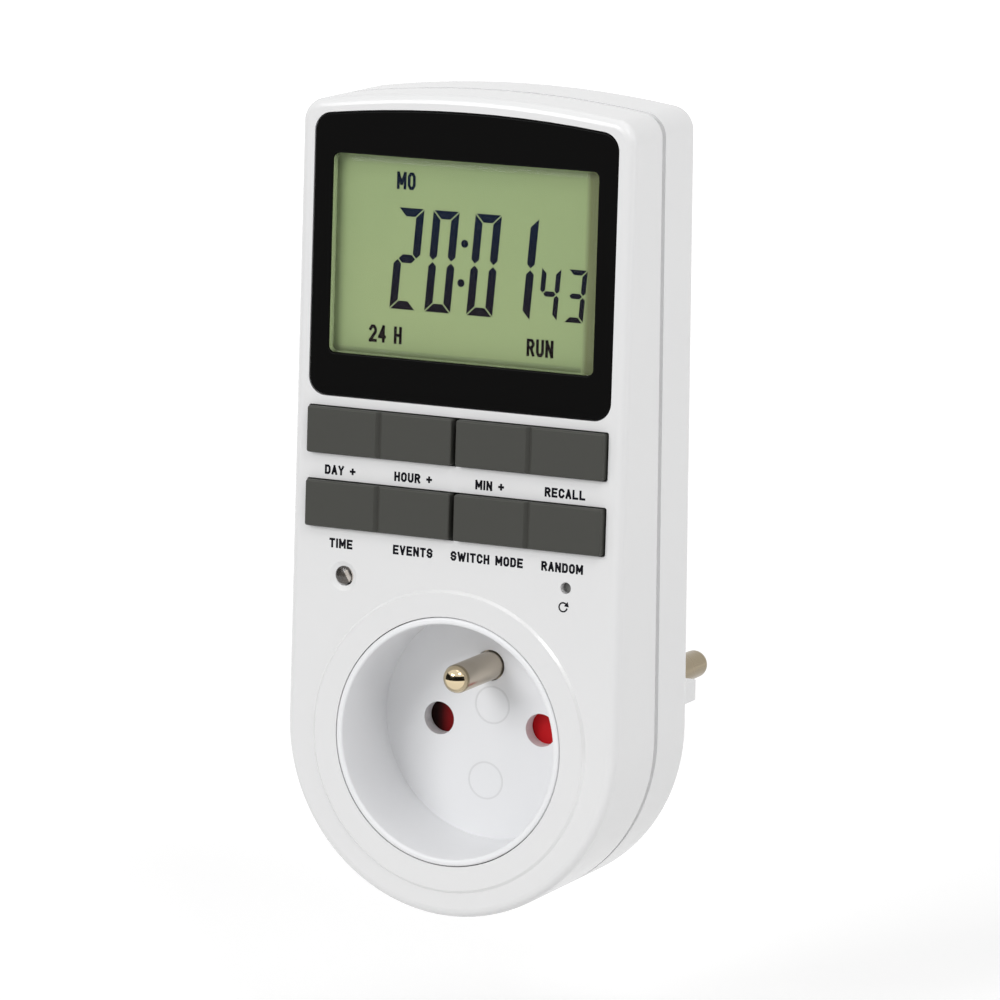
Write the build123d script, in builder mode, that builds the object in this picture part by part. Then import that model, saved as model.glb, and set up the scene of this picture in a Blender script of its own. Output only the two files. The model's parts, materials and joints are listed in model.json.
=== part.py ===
"""Plug-in digital timer switch: two-part housing, display, rocking keys, earthed socket and plug.

The origin is midway between the plug pins, on the end face of the plug tower. +Y points into the wall,
+Z is up, and the front face looks along -Y and leans back. Depths are measured from the front face at the
socket's centre, and heights along the leaning face from that same centre. Millimetres.
"""

import os
from math import cos, radians, sin, sqrt, tan

from build123d import *

os.makedirs("parts", exist_ok=True)

# Housing
body_half_width = 30.3
bottom_rise = 0.9  # centre of the round bottom above the socket's centre
top_arch_radius = 186.0
top_corner_radius = 4.0
least_corner_radius = 0.5
face_lean = 2.65  # degrees that the front face leans back
front_depth = 15.1  # front shell at the socket's centre
groove_width = 1.3  # shadow groove between the two shells
groove_depth = 0.8
side_wall = 2.0
face_wall = 2.4
back_wall = 2.0
front_edge_radius = 1.5
rear_edge_radius = 1.5
overrun = 1.0  # how far a cut runs past the face that it breaks
bite = 0.5  # how far a boss or rib runs into the wall that carries it
seat_gap = 0.1  # between a fixed piece and its flat seat
side_gap = 0.2  # between a fixed piece and the walls beside it

# Plug
pin_spacing = 19.0
pin_radius = 2.4
pin_length = 19.0
pin_tip_radius = 1.3
pin_root_radius = 2.7
pin_root_length = 18.4
pin_collar_radius = 3.8
pin_collar_length = 2.0
tower_length = 28.5
tower_radius = 16.7
tower_wall = 2.2
tower_end_wall = 3.0
tower_end_radius = 0.8
rib_reach = 18.5  # side ribs of the tower, from its axis
rib_height = 3.6
press_gap = 0.05  # radial, around pressed-in metal

# Socket
recess_radius = 19.5
recess_depth = 15.0
well_wall = 1.1
lip_proud = 0.6
lip_edge_radius = 0.4
well_gap = 0.15  # thin ring between the socket well and the front shell
well_flange_reach = 2.2
well_flange_depth = 4.5
well_flange_thickness = 1.5
well_collar_reach = 2.45
base_thickness = 2.5
socket_hole_radius = 2.8
pad_radius = 25.0  # low round pad on the face around the socket
pad_height = 0.4
pad_edge_radius = 0.35

# Earth
earth_offset = 10.0
earth_length = 14.0
earth_dome_height = 0.7
earth_dome_radius = 2.1
earth_shank_radius = 2.8
earth_shank_length = 9.0
earth_flange_radius = 3.2
earth_flange_thickness = 1.1
earth_sleeve_radius = 3.3
earth_bore_radius = 2.45
earth_bore_length = 16.4
earth_mouth_radius = 3.0

# Shutter
shutter_thickness = 1.5
shutter_gap = 0.2  # before and behind the shutter
shutter_half_length = 14.2
shutter_width = 7.0
shutter_hub_radius = 4.6
shutter_pivot_radius = 1.5
shutter_pivot_gap = 0.05
retainer_radius = 18.6
retainer_rim = 3.6
retainer_plate = 2.0
spring_thickness = 0.35
spring_width = 1.1
spring_foot = (14.9, -9.4)
spring_tip = (11.0, -3.85)
support_inset = 1.4  # of the ring behind the retainer, from the retainer's edge
support_wall = 2.0
support_top = 2.0

# Contacts
contact_radius = 3.4
contact_bore_radius = 2.45
contact_flange_radius = 4.2
live_contact_length = 11.4
strap_thickness = 0.8
strap_width = 4.0
strap_reach = 30.5  # top of the straps above the socket's centre
live_strap_step = 5.4  # height at which the live pin's strap runs forward
live_strap_end = 24.2

# Display
bezel_side_margin = 2.7  # white edge beside the frame
bezel_top_margin = 2.6
bezel_height = 47.9
frame_above_keys = 5.75  # from the upper row's middle
bezel_arch_radius = 212.0
bezel_corner_radius = 3.0
bezel_thickness = 1.4
bezel_gap = 0.15
bezel_edge_radius = 0.3
frame_side = 3.4  # black frame beside, above and below the window
frame_above = 7.9
frame_below = 7.1
window_corner_radius = 1.0
lens_margin = 1.0
lens_thickness = 0.8
lens_gap = 0.2
lens_sink = 0.1  # the pane's rim behind the frame's front
lens_side_gap = 0.1
lens_rim = 0.1
dish_depth = 0.85  # the pane's flat front behind the frame's front
dish_slope_width = 1.0
lcd_gap = 0.15
lcd_beside = 2.0  # panel hidden beside, above and below the window
lcd_above = 0.6
lcd_below = 2.1
lcd_thickness = 2.2
lcd_ledge = 2.4
holder_rim = 0.7
holder_gap = 0.15
holder_floor = 1.2
zebra_width = 2.0
zebra_end_margin = 4.2

# Keys
key_row_margin = 3.1  # white edge beside the keys
key_split = 0.8
key_height = 7.65
keys_above_lamp = 11.9  # lower row's middle
key_row_pitch = 12.25
key_proud = 1.3
key_root = 2.9  # underside of the key, behind the face
key_corner_radius = 0.4
key_edge_radius = 0.3
key_groove_half_width = 0.6
key_groove_depth = 0.45
key_end_gap = 0.35
key_side_gap = 0.2
pivot_depth = 3.7
pivot_radius = 0.8
pivot_gap = 0.05
pivot_hub_half_width = 1.5
pivot_hub_depth = 4.5
lug_thickness = 1.5
lug_half_width = 1.7
lug_depth = 5.1
foot_radius = 1.8
foot_clearance = 0.45  # from the key's foot to its switch at rest

# Control board
board_depth = 9.0
board_thickness = 1.6
board_side_gap = 0.7
board_below_lamp = 2.3
board_below_panel_top = 3.2
board_corner_radius = 1.0
board_post_inset = 2.0
board_post_above_reset = 2.66
board_post_above_frame = 1.6
board_post_radius = 1.7
board_screw_radius = 0.9
board_screw_head_radius = 1.6
board_screw_head_height = 0.9
board_screw_length = 4.5
switch_size = 6.0
switch_height = 3.5
switch_stem_radius = 1.7
switch_stem_height = 0.65
switch_corner_radius = 0.4
reset_inset = 9.65
reset_above_lamp = 2.14
reset_hole_radius = 0.95
reset_radius = 0.75
reset_recess = 1.2
reset_collar_radius = 1.6
reset_collar_thickness = 0.8
reset_collar_gap = 0.3
reset_stroke_room = 0.35
led_inset = 9.97
led_above_socket = 4.75  # from the edge of the socket's opening
led_radius = 1.5
led_hole_radius = 1.65
led_sink_radius = 2.5
led_sink_angle = 120.0
led_proud = 0.3
led_dome_radius = 1.4
led_body_length = 5.4
led_flange_radius = 1.9
led_flange_thickness = 1.0
led_leg = 0.5
led_leg_spacing = 1.27
chip_size = 10.0
chip_thickness = 1.6
chip_header_gap = 3.75
crystal_radius = 1.0
crystal_length = 6.0
crystal_x = 11.0
crystal_above_chip = 8.0
battery_radius = 7.75
battery_thickness = 5.4
battery_header_gap = 3.0
battery_rim_radius = 0.6

# Power board
power_thickness = 1.2
power_stand_off = 2.3  # from the back wall
power_side_margin = 6.3
power_above_socket = 5.65
header_drop = 4.0  # below the power board's upper edge
power_post_radius = 2.6
power_post_inset = 3.5
power_post_drop = 4.5
power_post_rise = 5.9
power_screw_radius = 1.1
power_screw_head_radius = 2.0
power_screw_head_height = 1.1
power_screw_length = 3.2
relay_size = (15.0, 19.0, 8.8)
relay_inset = 11.0
relay_gap = 0.5  # above the lower screw's head
relay_board_gap = 0.49  # from the control board
relay_edge_radius = 0.5
film_size = (14.0, 11.0, 7.6)
film_gap = 2.0
film_edge_radius = 0.8
smoothing_radius = 3.15
smoothing_length = 11.0
smoothing_gap = 3.35
smoothing_bead_radius = 0.5
varistor_radius = 4.5
varistor_thickness = 3.6
varistor_gap = 3.9
varistor_margin = 7.1
varistor_edge_radius = 1.2
fuse_radius = 1.6
fuse_length = 9.0
fuse_gap = 3.4
fuse_end_radius = 0.5
diode_radius = 1.2
diode_length = 4.4
diode_pitch = 4.2
diode_gap = 4.25
component_inset = 10.4  # middle of the outer components from the power board's side
header_size = (12.0, 2.5)
header_gap = 0.4

# Housing screws
upper_screw_inset = 5.7
upper_screw_drop = 6.2
lower_screw_inset = 4.9
lower_screw_height = 18.0
screw_radius = 1.3
screw_hole_radius = 1.6
screw_pilot_radius = 1.3
screw_head_radius = 2.1
screw_head_height = 1.6
screw_sink_radius = 2.3
screw_sink_depth = 5.0
screw_thread_length = 6.0
front_boss_radius = 2.4
rear_boss_radius = 3.3

# What follows from these sizes
lean = radians(face_lean)
lip_radius = recess_radius + well_wall
opening_radius = lip_radius + well_gap
base_back = recess_depth + base_thickness
shutter_front = base_back + shutter_gap
plate_front = shutter_front + shutter_thickness + shutter_gap
plate_back = plate_front + retainer_plate
support_outer_radius = retainer_radius - support_inset
support_inner_radius = support_outer_radius - support_wall
led_x = led_inset - body_half_width
led_height = opening_radius + led_above_socket
reset_x = body_half_width - reset_inset
reset_height = led_height + reset_above_lamp
lower_key_row = led_height + keys_above_lamp
upper_key_row = lower_key_row + key_row_pitch
bezel_half_width = body_half_width - bezel_side_margin
bezel_bottom = upper_key_row + frame_above_keys
bezel_top = bezel_bottom + bezel_height
top_height = bezel_top + bezel_top_margin  # crown of the top above the socket's centre
window_width = 2 * (bezel_half_width - frame_side)
window_height = bezel_height - frame_above - frame_below
window_centre = bezel_bottom + frame_below + window_height / 2
lcd_half_width = window_width / 2 + lcd_beside
lcd_bottom = window_centre - window_height / 2 - lcd_below
lcd_top = window_centre + window_height / 2 + lcd_above
zebra_half_length = lcd_half_width - zebra_end_margin
key_row_half_width = body_half_width - key_row_margin
key_length = key_row_half_width - key_split / 2
key_centre = (key_row_half_width + key_split / 2) / 2
switch_offset = key_length / 4
switch_top_depth = board_depth - switch_height - switch_stem_height
foot_depth = switch_top_depth - foot_clearance
key_places = {
    "key_rocker_upper_left": (-key_centre, upper_key_row),
    "key_rocker_upper_right": (key_centre, upper_key_row),
    "key_rocker_lower_left": (-key_centre, lower_key_row),
    "key_rocker_lower_right": (key_centre, lower_key_row),
}
board_back = board_depth + board_thickness
board_half_width = body_half_width - side_wall - board_side_gap
board_bottom = led_height - board_below_lamp
board_top = lcd_top - board_below_panel_top
board_post_x = board_half_width - board_post_inset
board_post_heights = (reset_height + board_post_above_reset, bezel_bottom + board_post_above_frame)
board_posts = [(side * board_post_x, h) for h in board_post_heights for side in (-1, 1)]
power_half_width = body_half_width - power_side_margin
power_bottom = opening_radius + power_above_socket
lower_post_height = power_bottom + power_post_rise
lower_head_top = lower_post_height + power_screw_head_radius
component_x = power_half_width - component_inset
relay_place = (relay_inset - power_half_width, lower_head_top + relay_gap + relay_size[1] / 2)
relay_top = relay_place[1] + relay_size[1] / 2
power_depth = board_back / cos(lean) + relay_top * tan(lean) + relay_board_gap + relay_size[2]
back_inner_depth = power_depth + power_thickness + power_stand_off
body_depth = back_inner_depth + back_wall
rear_depth = body_depth - front_depth - groove_width
total_depth = body_depth + tower_length
film_place = (component_x, lower_head_top + film_gap + film_size[1] / 2)
smoothing_place = (component_x, film_place[1] + film_size[1] / 2 + smoothing_gap + smoothing_radius)
diode_place = (component_x, smoothing_place[1] + smoothing_radius + diode_gap + diode_length / 2)
varistor_place = (-component_x, relay_top + varistor_gap + varistor_radius)
fuse_place = (0, relay_top + fuse_gap + fuse_radius)
power_top = varistor_place[1] + varistor_radius + varistor_margin
power_post_x = power_half_width - power_post_inset
power_posts = [
    (-power_post_x, power_top - power_post_drop),
    (power_post_x, power_top - power_post_drop),
    (0, lower_post_height),
]
header_place = (0, power_top - header_drop)
chip_height = header_place[1] - header_size[1] / 2 - chip_header_gap - chip_size / 2
crystal_height = chip_height + crystal_above_chip
battery_height = header_place[1] + header_size[1] / 2 + battery_header_gap + battery_radius
upper_screw_place = (body_half_width - upper_screw_inset, top_height - upper_screw_drop)
lower_screw_place = (body_half_width - lower_screw_inset, lower_screw_height)
lens_front = bezel_thickness
lcd_front = face_wall + lcd_gap
lcd_back = lcd_front + lcd_thickness
pin_root_depth = total_depth - tower_end_wall - pin_root_length
tower_end_inner = total_depth - tower_end_wall
screw_places = [(side * x, z) for x, z in (upper_screw_place, lower_screw_place) for side in (-1, 1)]

face = Plane(origin=(0, -total_depth, 0), x_dir=(1, 0, 0), z_dir=(0, -cos(lean), sin(lean)))
outward = Axis(face.origin, face.z_dir)


def upright_at(depth):
    """The plane parallel to the wall at this depth, looking out of the front."""
    return Plane.XZ.offset(total_depth - depth)


def face_at(depth):
    """The plane parallel to the leaning face at this depth behind it."""
    return face.offset(-depth)


def spot(x, height, depth):
    """A plane parallel to the leaning face, centred on a place there."""
    return Plane(face.from_local_coords((x, height, -depth)), x_dir=face.x_dir, z_dir=face.z_dir)


def face_depth(z):
    """Depth of the leaning face at this level."""
    return z * tan(lean)


def wall_inside(z):
    """Depth of the front wall's inner side at this level."""
    return face_depth(z) + face_wall / cos(lean)


def body_shape(inset):
    """The housing's outline, drawn in by an inset: round below, straight sides, arched on top."""
    half = body_half_width - inset
    crown = top_height - inset
    arch = top_arch_radius - inset
    shoulder = crown - arch + sqrt(arch**2 - half**2)
    with BuildSketch(Plane.XY) as shape:
        with BuildLine():
            Line((-half, bottom_rise), (-half, shoulder))
            ThreePointArc((-half, shoulder), (0, crown), (half, shoulder))
            Line((half, shoulder), (half, bottom_rise))
            ThreePointArc((half, bottom_rise), (0, bottom_rise - half), (-half, bottom_rise))
        make_face()
        corner = max(top_corner_radius - inset, least_corner_radius)
        fillet(shape.vertices().group_by(Axis.Y)[-1], corner)
    return shape.sketch


def bezel_shape(grow):
    """The display frame's outline, let out by a clearance: straight with an arched top."""
    half = bezel_half_width + grow
    low = bezel_bottom - grow
    crown = bezel_top + grow
    arch = bezel_arch_radius + grow
    shoulder = crown - arch + sqrt(arch**2 - half**2)
    with BuildSketch(Plane.XY) as shape:
        with BuildLine():
            Polyline((-half, shoulder), (-half, low), (half, low), (half, shoulder))
            ThreePointArc((half, shoulder), (0, crown), (-half, shoulder))
        make_face()
        fillet(shape.vertices(), bezel_corner_radius + grow)
    return shape.sketch


def keep(piece, name):
    """Labels a finished piece and writes it to its file."""
    piece.part.label = name
    export_step(piece.part, f"parts/{name}.step")


# Space inside the front shell, behind its leaning wall
with BuildPart() as front_cavity:
    with BuildSketch(upright_at(front_depth + overrun)):
        add(body_shape(side_wall))
    extrude(amount=front_depth + overrun + face_depth(body_half_width) + overrun)
    split(bisect_by=face_at(face_wall), keep=Keep.BOTTOM)

# Front shell: leaning face, seats for the frame, the keys, the lamp and the socket well
with BuildPart() as front_housing:
    with BuildSketch(upright_at(front_depth)):
        add(body_shape(0))
    extrude(amount=front_depth + face_depth(body_half_width) + overrun)
    split(bisect_by=face, keep=Keep.BOTTOM)
    fillet(front_housing.faces().sort_by(outward)[-1].edges(), front_edge_radius)
    add(front_cavity.part, mode=Mode.SUBTRACT)
    # round pad on the face
    with BuildSketch(face_at(face_wall / 2)):
        Circle(pad_radius)
    extrude(amount=face_wall / 2 + pad_height)
    fillet(front_housing.faces().sort_by(outward)[-1].edges(), pad_edge_radius)
    # collar that the socket well's flange seats on
    with BuildSketch(upright_at(well_flange_depth)):
        Circle(opening_radius + well_collar_reach)
    extrude(amount=well_flange_depth - face_depth(-opening_radius) - face_wall / 2)
    split(bisect_by=face.offset(pad_height), keep=Keep.BOTTOM)
    with BuildSketch(upright_at(front_depth)):
        Circle(opening_radius)
    extrude(amount=total_depth, mode=Mode.SUBTRACT)
    # bosses for the housing screws
    for x, z in screw_places:
        with BuildSketch(upright_at(front_depth)):
            with Locations((x, z)):
                Circle(front_boss_radius)
        extrude(amount=front_depth - wall_inside(z) + bite)
        with BuildSketch(upright_at(front_depth)):
            with Locations((x, z)):
                Circle(screw_pilot_radius)
        extrude(amount=screw_thread_length, mode=Mode.SUBTRACT)
    # pocket for the display frame and the opening behind it
    with BuildSketch(face):
        add(bezel_shape(bezel_gap))
    extrude(amount=-bezel_thickness, mode=Mode.SUBTRACT)
    with BuildSketch(face):
        with Locations((0, window_centre)):
            RectangleRounded(
                window_width + 2 * (lens_margin + lens_gap),
                window_height + 2 * (lens_margin + lens_gap),
                window_corner_radius,
            )
    extrude(amount=-face_wall - overrun, mode=Mode.SUBTRACT)
    # openings for the two rows of keys
    with BuildSketch(face):
        with Locations((0, upper_key_row), (0, lower_key_row)):
            RectangleRounded(
                2 * (key_row_half_width + key_end_gap), key_height + 2 * key_side_gap, key_corner_radius
            )
    extrude(amount=-face_wall - overrun, mode=Mode.SUBTRACT)
    # lugs that carry the keys' pivots
    with BuildSketch(face_at(lug_depth)):
        for x, h in key_places.values():
            lug_offset = key_height / 2 + key_side_gap + lug_thickness / 2
            with Locations((x, h - lug_offset), (x, h + lug_offset)):
                Rectangle(2 * lug_half_width, lug_thickness)
    extrude(amount=lug_depth - face_wall + bite)
    for x, h in key_places.values():
        place = spot(x, h, pivot_depth)
        with BuildSketch(Plane(place.origin, x_dir=place.x_dir, z_dir=place.y_dir)):
            Circle(pivot_radius + pivot_gap)
        extrude(amount=key_height / 2 + key_side_gap + lug_thickness + bite, both=True, mode=Mode.SUBTRACT)
    # posts for the control board
    with BuildSketch(face_at(board_depth)):
        with Locations(*board_posts):
            Circle(board_post_radius)
    extrude(amount=board_depth - face_wall + bite)
    with BuildSketch(face_at(board_depth)):
        with Locations(*board_posts):
            Circle(board_screw_radius)
    extrude(amount=board_screw_length, mode=Mode.SUBTRACT)
    # holes for the lamp and the reset pin
    with Locations(spot(led_x, led_height, 0)):
        CounterSinkHole(led_hole_radius, led_sink_radius, face_wall + overrun, led_sink_angle)
    with Locations(spot(reset_x, reset_height, 0)):
        Hole(reset_hole_radius, face_wall + overrun)
keep(front_housing, "front_housing")

# Rear shell with the plug tower
with BuildPart() as rear_housing:
    with BuildSketch(upright_at(body_depth)):
        add(body_shape(0))
    extrude(amount=rear_depth)
    fillet(rear_housing.faces().sort_by(Axis.Y)[-1].edges(), rear_edge_radius)
    with BuildSketch(upright_at(front_depth + groove_width + bite)):
        add(body_shape(groove_depth))
    extrude(amount=groove_width + bite)
    with BuildSketch(upright_at(body_depth - back_wall / 2)):
        Circle(tower_radius)
        Rectangle(2 * rib_reach, rib_height)
    extrude(amount=-(tower_length + back_wall / 2))
    fillet(rear_housing.faces().sort_by(Axis.Y)[-1].edges(), tower_end_radius)
    with BuildSketch(upright_at(back_inner_depth)):
        add(body_shape(side_wall))
    extrude(amount=rear_depth + groove_width + overrun, mode=Mode.SUBTRACT)
    with BuildSketch(upright_at(back_inner_depth - overrun)):
        Circle(tower_radius - tower_wall)
    extrude(amount=-(tower_end_inner - back_inner_depth + overrun), mode=Mode.SUBTRACT)
    # half ring that holds the shutter's retainer on the socket well
    with BuildSketch(upright_at(back_inner_depth + bite)):
        Circle(support_outer_radius)
        Circle(support_inner_radius, mode=Mode.SUBTRACT)
        with Locations((0, support_top)):
            Rectangle(
                2 * support_outer_radius,
                support_outer_radius,
                align=(Align.CENTER, Align.MIN),
                mode=Mode.SUBTRACT,
            )
    extrude(amount=back_inner_depth + bite - plate_back - seat_gap)
    # tubes and sunk holes for the housing screws
    with BuildSketch(upright_at(back_inner_depth + bite)):
        with Locations(*screw_places):
            Circle(rear_boss_radius)
    extrude(amount=back_inner_depth + bite - front_depth)
    with BuildSketch(upright_at(body_depth)):
        with Locations(*screw_places):
            Circle(screw_hole_radius)
    extrude(amount=body_depth - front_depth + overrun, mode=Mode.SUBTRACT)
    with BuildSketch(upright_at(body_depth)):
        with Locations(*screw_places):
            Circle(screw_sink_radius)
    extrude(amount=screw_sink_depth, mode=Mode.SUBTRACT)
    with BuildSketch(upright_at(front_depth)):
        add(body_shape(-overrun))
        add(body_shape(groove_depth), mode=Mode.SUBTRACT)
    extrude(amount=-groove_width, mode=Mode.SUBTRACT)
    # posts for the power board
    with BuildSketch(upright_at(back_inner_depth + bite)):
        with Locations(*power_posts):
            Circle(power_post_radius)
    extrude(amount=back_inner_depth + bite - power_depth - power_thickness)
    with BuildSketch(upright_at(power_depth + power_thickness)):
        with Locations(*power_posts):
            Circle(power_screw_radius)
    extrude(amount=-(power_screw_length - power_thickness), mode=Mode.SUBTRACT)
    # holes for the plug pins and for the earth pin of the wall socket
    with BuildSketch(upright_at(total_depth)):
        with Locations((-pin_spacing / 2, 0), (pin_spacing / 2, 0)):
            Circle(pin_root_radius + press_gap)
        with Locations((0, earth_offset)):
            Circle(earth_mouth_radius)
    extrude(amount=tower_end_wall + overrun, mode=Mode.SUBTRACT)
keep(rear_housing, "rear_housing")

# Glossy frame around the display
with BuildPart() as window_bezel:
    with BuildSketch(face_at(bezel_thickness)):
        add(bezel_shape(0))
        with Locations((0, window_centre)):
            RectangleRounded(window_width, window_height, window_corner_radius, mode=Mode.SUBTRACT)
    extrude(amount=bezel_thickness)
    fillet(window_bezel.faces().sort_by(outward)[-1].edges(), bezel_edge_radius)
keep(window_bezel, "window_bezel")


def pane_shape(depth, inset):
    """The window's outline on a plane at this depth, drawn in by an inset."""
    with BuildSketch(spot(0, window_centre, depth)) as shape:
        RectangleRounded(window_width - 2 * inset, window_height - 2 * inset, window_corner_radius)
    return shape.sketch


# Clear pane: a flange behind the frame and a dished front that fills the frame's opening
with BuildPart() as window_lens:
    extrude(pane_shape(lens_front, -lens_margin), amount=-lens_thickness)
    extrude(pane_shape(lens_front, lens_side_gap), amount=lens_front - lens_sink)
    dish_edge = lens_side_gap + lens_rim
    loft(
        [pane_shape(lens_sink, dish_edge), pane_shape(dish_depth, dish_edge + dish_slope_width)],
        mode=Mode.SUBTRACT,
    )
keep(window_lens, "window_lens")

# Liquid crystal panel: two panes of glass, the rear one longer by its contact ledge
with BuildPart() as lcd_panel:
    with BuildSketch(spot(0, lcd_bottom, lcd_back)):
        Rectangle(2 * lcd_half_width, lcd_top - lcd_bottom, align=(Align.CENTER, Align.MIN))
    extrude(amount=lcd_thickness / 2)
    with BuildSketch(spot(0, lcd_bottom + lcd_ledge, lcd_back)):
        Rectangle(2 * lcd_half_width, lcd_top - lcd_bottom - lcd_ledge, align=(Align.CENTER, Align.MIN))
    extrude(amount=lcd_thickness)
keep(lcd_panel, "lcd_panel")

# Tray that holds the panel against the front wall and stands on the control board
with BuildPart() as lcd_holder:
    holder_low = lcd_bottom - holder_gap - holder_rim
    holder_high = lcd_top + holder_gap + holder_rim
    with BuildSketch(spot(0, (holder_low + holder_high) / 2, board_depth - seat_gap)):
        Rectangle(2 * (lcd_half_width + holder_gap + holder_rim), holder_high - holder_low)
    extrude(amount=board_depth - seat_gap - lcd_front - seat_gap)
    with BuildSketch(spot(0, (lcd_bottom + lcd_top) / 2, lcd_back + seat_gap)):
        Rectangle(2 * (lcd_half_width + holder_gap), lcd_top - lcd_bottom + 2 * holder_gap)
    extrude(amount=lcd_thickness + seat_gap, mode=Mode.SUBTRACT)
    with BuildSketch(spot(0, (lcd_bottom + lcd_top) / 2, lcd_back + seat_gap + holder_floor)):
        Rectangle(2 * (lcd_half_width - holder_rim), lcd_top - lcd_bottom - 2 * holder_rim)
    extrude(amount=-board_depth, mode=Mode.SUBTRACT)
    with BuildSketch(spot(0, lcd_bottom + lcd_ledge / 2, lcd_back)):
        Rectangle(2 * (zebra_half_length + side_gap), zebra_width + 2 * side_gap)
    extrude(amount=-board_depth, mode=Mode.SUBTRACT)
keep(lcd_holder, "lcd_holder")

# Elastomer strip that joins the panel's ledge to the control board
with BuildPart() as zebra_strip:
    with BuildSketch(spot(0, lcd_bottom + lcd_ledge / 2, lcd_back)):
        Rectangle(2 * zebra_half_length, zebra_width)
    extrude(amount=-(board_depth - lcd_back))
keep(zebra_strip, "zebra_strip")

# Control board, parallel to the face
with BuildPart() as control_board:
    with BuildSketch(spot(0, (board_bottom + board_top) / 2, board_depth)):
        RectangleRounded(2 * board_half_width, board_top - board_bottom, board_corner_radius)
    extrude(amount=-board_thickness)
    with BuildSketch(face_at(board_depth)):
        with Locations(*board_posts):
            Circle(board_screw_radius + side_gap)
    extrude(amount=-board_thickness - overrun, mode=Mode.SUBTRACT)
keep(control_board, "control_board")

# Screws that hold the control board on its posts
with BuildPart() as control_board_screws:
    with BuildSketch(face_at(board_back)):
        with Locations(*board_posts):
            Circle(board_screw_head_radius)
    extrude(amount=-board_screw_head_height)
    with BuildSketch(face_at(board_back)):
        with Locations(*board_posts):
            Circle(board_screw_radius - press_gap)
    extrude(amount=board_screw_length)
keep(control_board_screws, "control_board_screws")

# Tact switches under the keys, two for each rocker
with BuildPart() as key_switches:
    switch_places = [
        (x + side * switch_offset, h) for x, h in key_places.values() for side in (-1, 1)
    ]
    with BuildSketch(face_at(board_depth)):
        with Locations(*switch_places):
            RectangleRounded(switch_size, switch_size, switch_corner_radius)
    extrude(amount=switch_height)
    with BuildSketch(face_at(board_depth - switch_height)):
        with Locations(*switch_places):
            Circle(switch_stem_radius)
    extrude(amount=switch_stem_height)
keep(key_switches, "key_switches")

# Reset switch and the pin that reaches it through the face
with BuildPart() as reset_switch:
    with BuildSketch(spot(reset_x, reset_height, board_depth)):
        RectangleRounded(switch_size, switch_size, switch_corner_radius)
    extrude(amount=switch_height)
    with BuildSketch(spot(reset_x, reset_height, board_depth - switch_height)):
        Circle(switch_stem_radius)
    extrude(amount=switch_stem_height)
keep(reset_switch, "reset_switch")

with BuildPart() as reset_button:
    with BuildSketch(spot(reset_x, reset_height, reset_recess)):
        Circle(reset_radius)
    extrude(amount=-(switch_top_depth - reset_stroke_room - reset_recess))
    with BuildSketch(spot(reset_x, reset_height, face_wall + reset_collar_gap)):
        Circle(reset_collar_radius)
    extrude(amount=-reset_collar_thickness)
keep(reset_button, "reset_button")

# Double keys: each rocks about its middle, on pivots in the front shell's lugs
for key_name, (key_x, key_h) in key_places.items():
    with BuildPart() as key_rocker:
        key_top = spot(key_x, key_h, -key_proud)
        with BuildSketch(spot(key_x, key_h, key_root)):
            RectangleRounded(key_length, key_height, key_corner_radius)
        extrude(amount=key_root + key_proud)
        fillet(key_rocker.faces().sort_by(outward)[-1].edges(), key_edge_radius)
        with BuildSketch(Plane(key_top.origin, x_dir=key_top.x_dir, z_dir=key_top.y_dir)):
            with BuildLine():
                Polyline(
                    (-key_groove_half_width, 0),
                    (key_groove_half_width, 0),
                    (0, key_groove_depth),
                    close=True,
                )
            make_face()
        extrude(amount=key_height, both=True, mode=Mode.SUBTRACT)
        with BuildSketch(spot(key_x, key_h, pivot_hub_depth)):
            Rectangle(2 * pivot_hub_half_width, key_height)
        extrude(amount=pivot_hub_depth - key_root + bite)
        with BuildSketch(spot(key_x, key_h, foot_depth)):
            with Locations((-switch_offset, 0), (switch_offset, 0)):
                Circle(foot_radius)
        extrude(amount=foot_depth - key_root + bite)
        pivot = spot(key_x, key_h, pivot_depth)
        with BuildSketch(Plane(pivot.origin, x_dir=pivot.x_dir, z_dir=pivot.y_dir)):
            Circle(pivot_radius)
        extrude(amount=key_height / 2 + key_side_gap + lug_thickness, both=True)
    keep(key_rocker, key_name)

# Status lamp
with BuildPart() as status_led:
    with BuildSketch(spot(led_x, led_height, led_body_length - led_proud)):
        Circle(led_radius)
    extrude(amount=led_body_length)
    fillet(status_led.faces().sort_by(outward)[-1].edges(), led_dome_radius)
    with BuildSketch(spot(led_x, led_height, led_body_length - led_proud)):
        Circle(led_flange_radius)
    extrude(amount=-led_flange_thickness)
    with BuildSketch(spot(led_x, led_height, board_depth)):
        with GridLocations(2 * led_leg_spacing, 0, 2, 1):
            Rectangle(led_leg, led_leg)
    extrude(amount=board_depth - led_body_length + led_proud)
keep(status_led, "status_led")

# Pieces on the back of the control board
with BuildPart() as controller_chip:
    with BuildSketch(spot(0, chip_height, board_back)):
        RectangleRounded(chip_size, chip_size, switch_corner_radius)
    extrude(amount=-chip_thickness)
keep(controller_chip, "controller_chip")

with BuildPart() as clock_crystal:
    can = spot(crystal_x, crystal_height, board_back + crystal_radius)
    with BuildSketch(Plane(can.origin, x_dir=can.x_dir, z_dir=can.y_dir)):
        Circle(crystal_radius)
    extrude(amount=crystal_length / 2, both=True)
keep(clock_crystal, "clock_crystal")

with BuildPart() as backup_battery:
    with BuildSketch(spot(0, battery_height, board_back)):
        Circle(battery_radius)
    extrude(amount=-battery_thickness)
    fillet(backup_battery.edges().filter_by(GeomType.CIRCLE), battery_rim_radius)
keep(backup_battery, "backup_battery")

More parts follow.
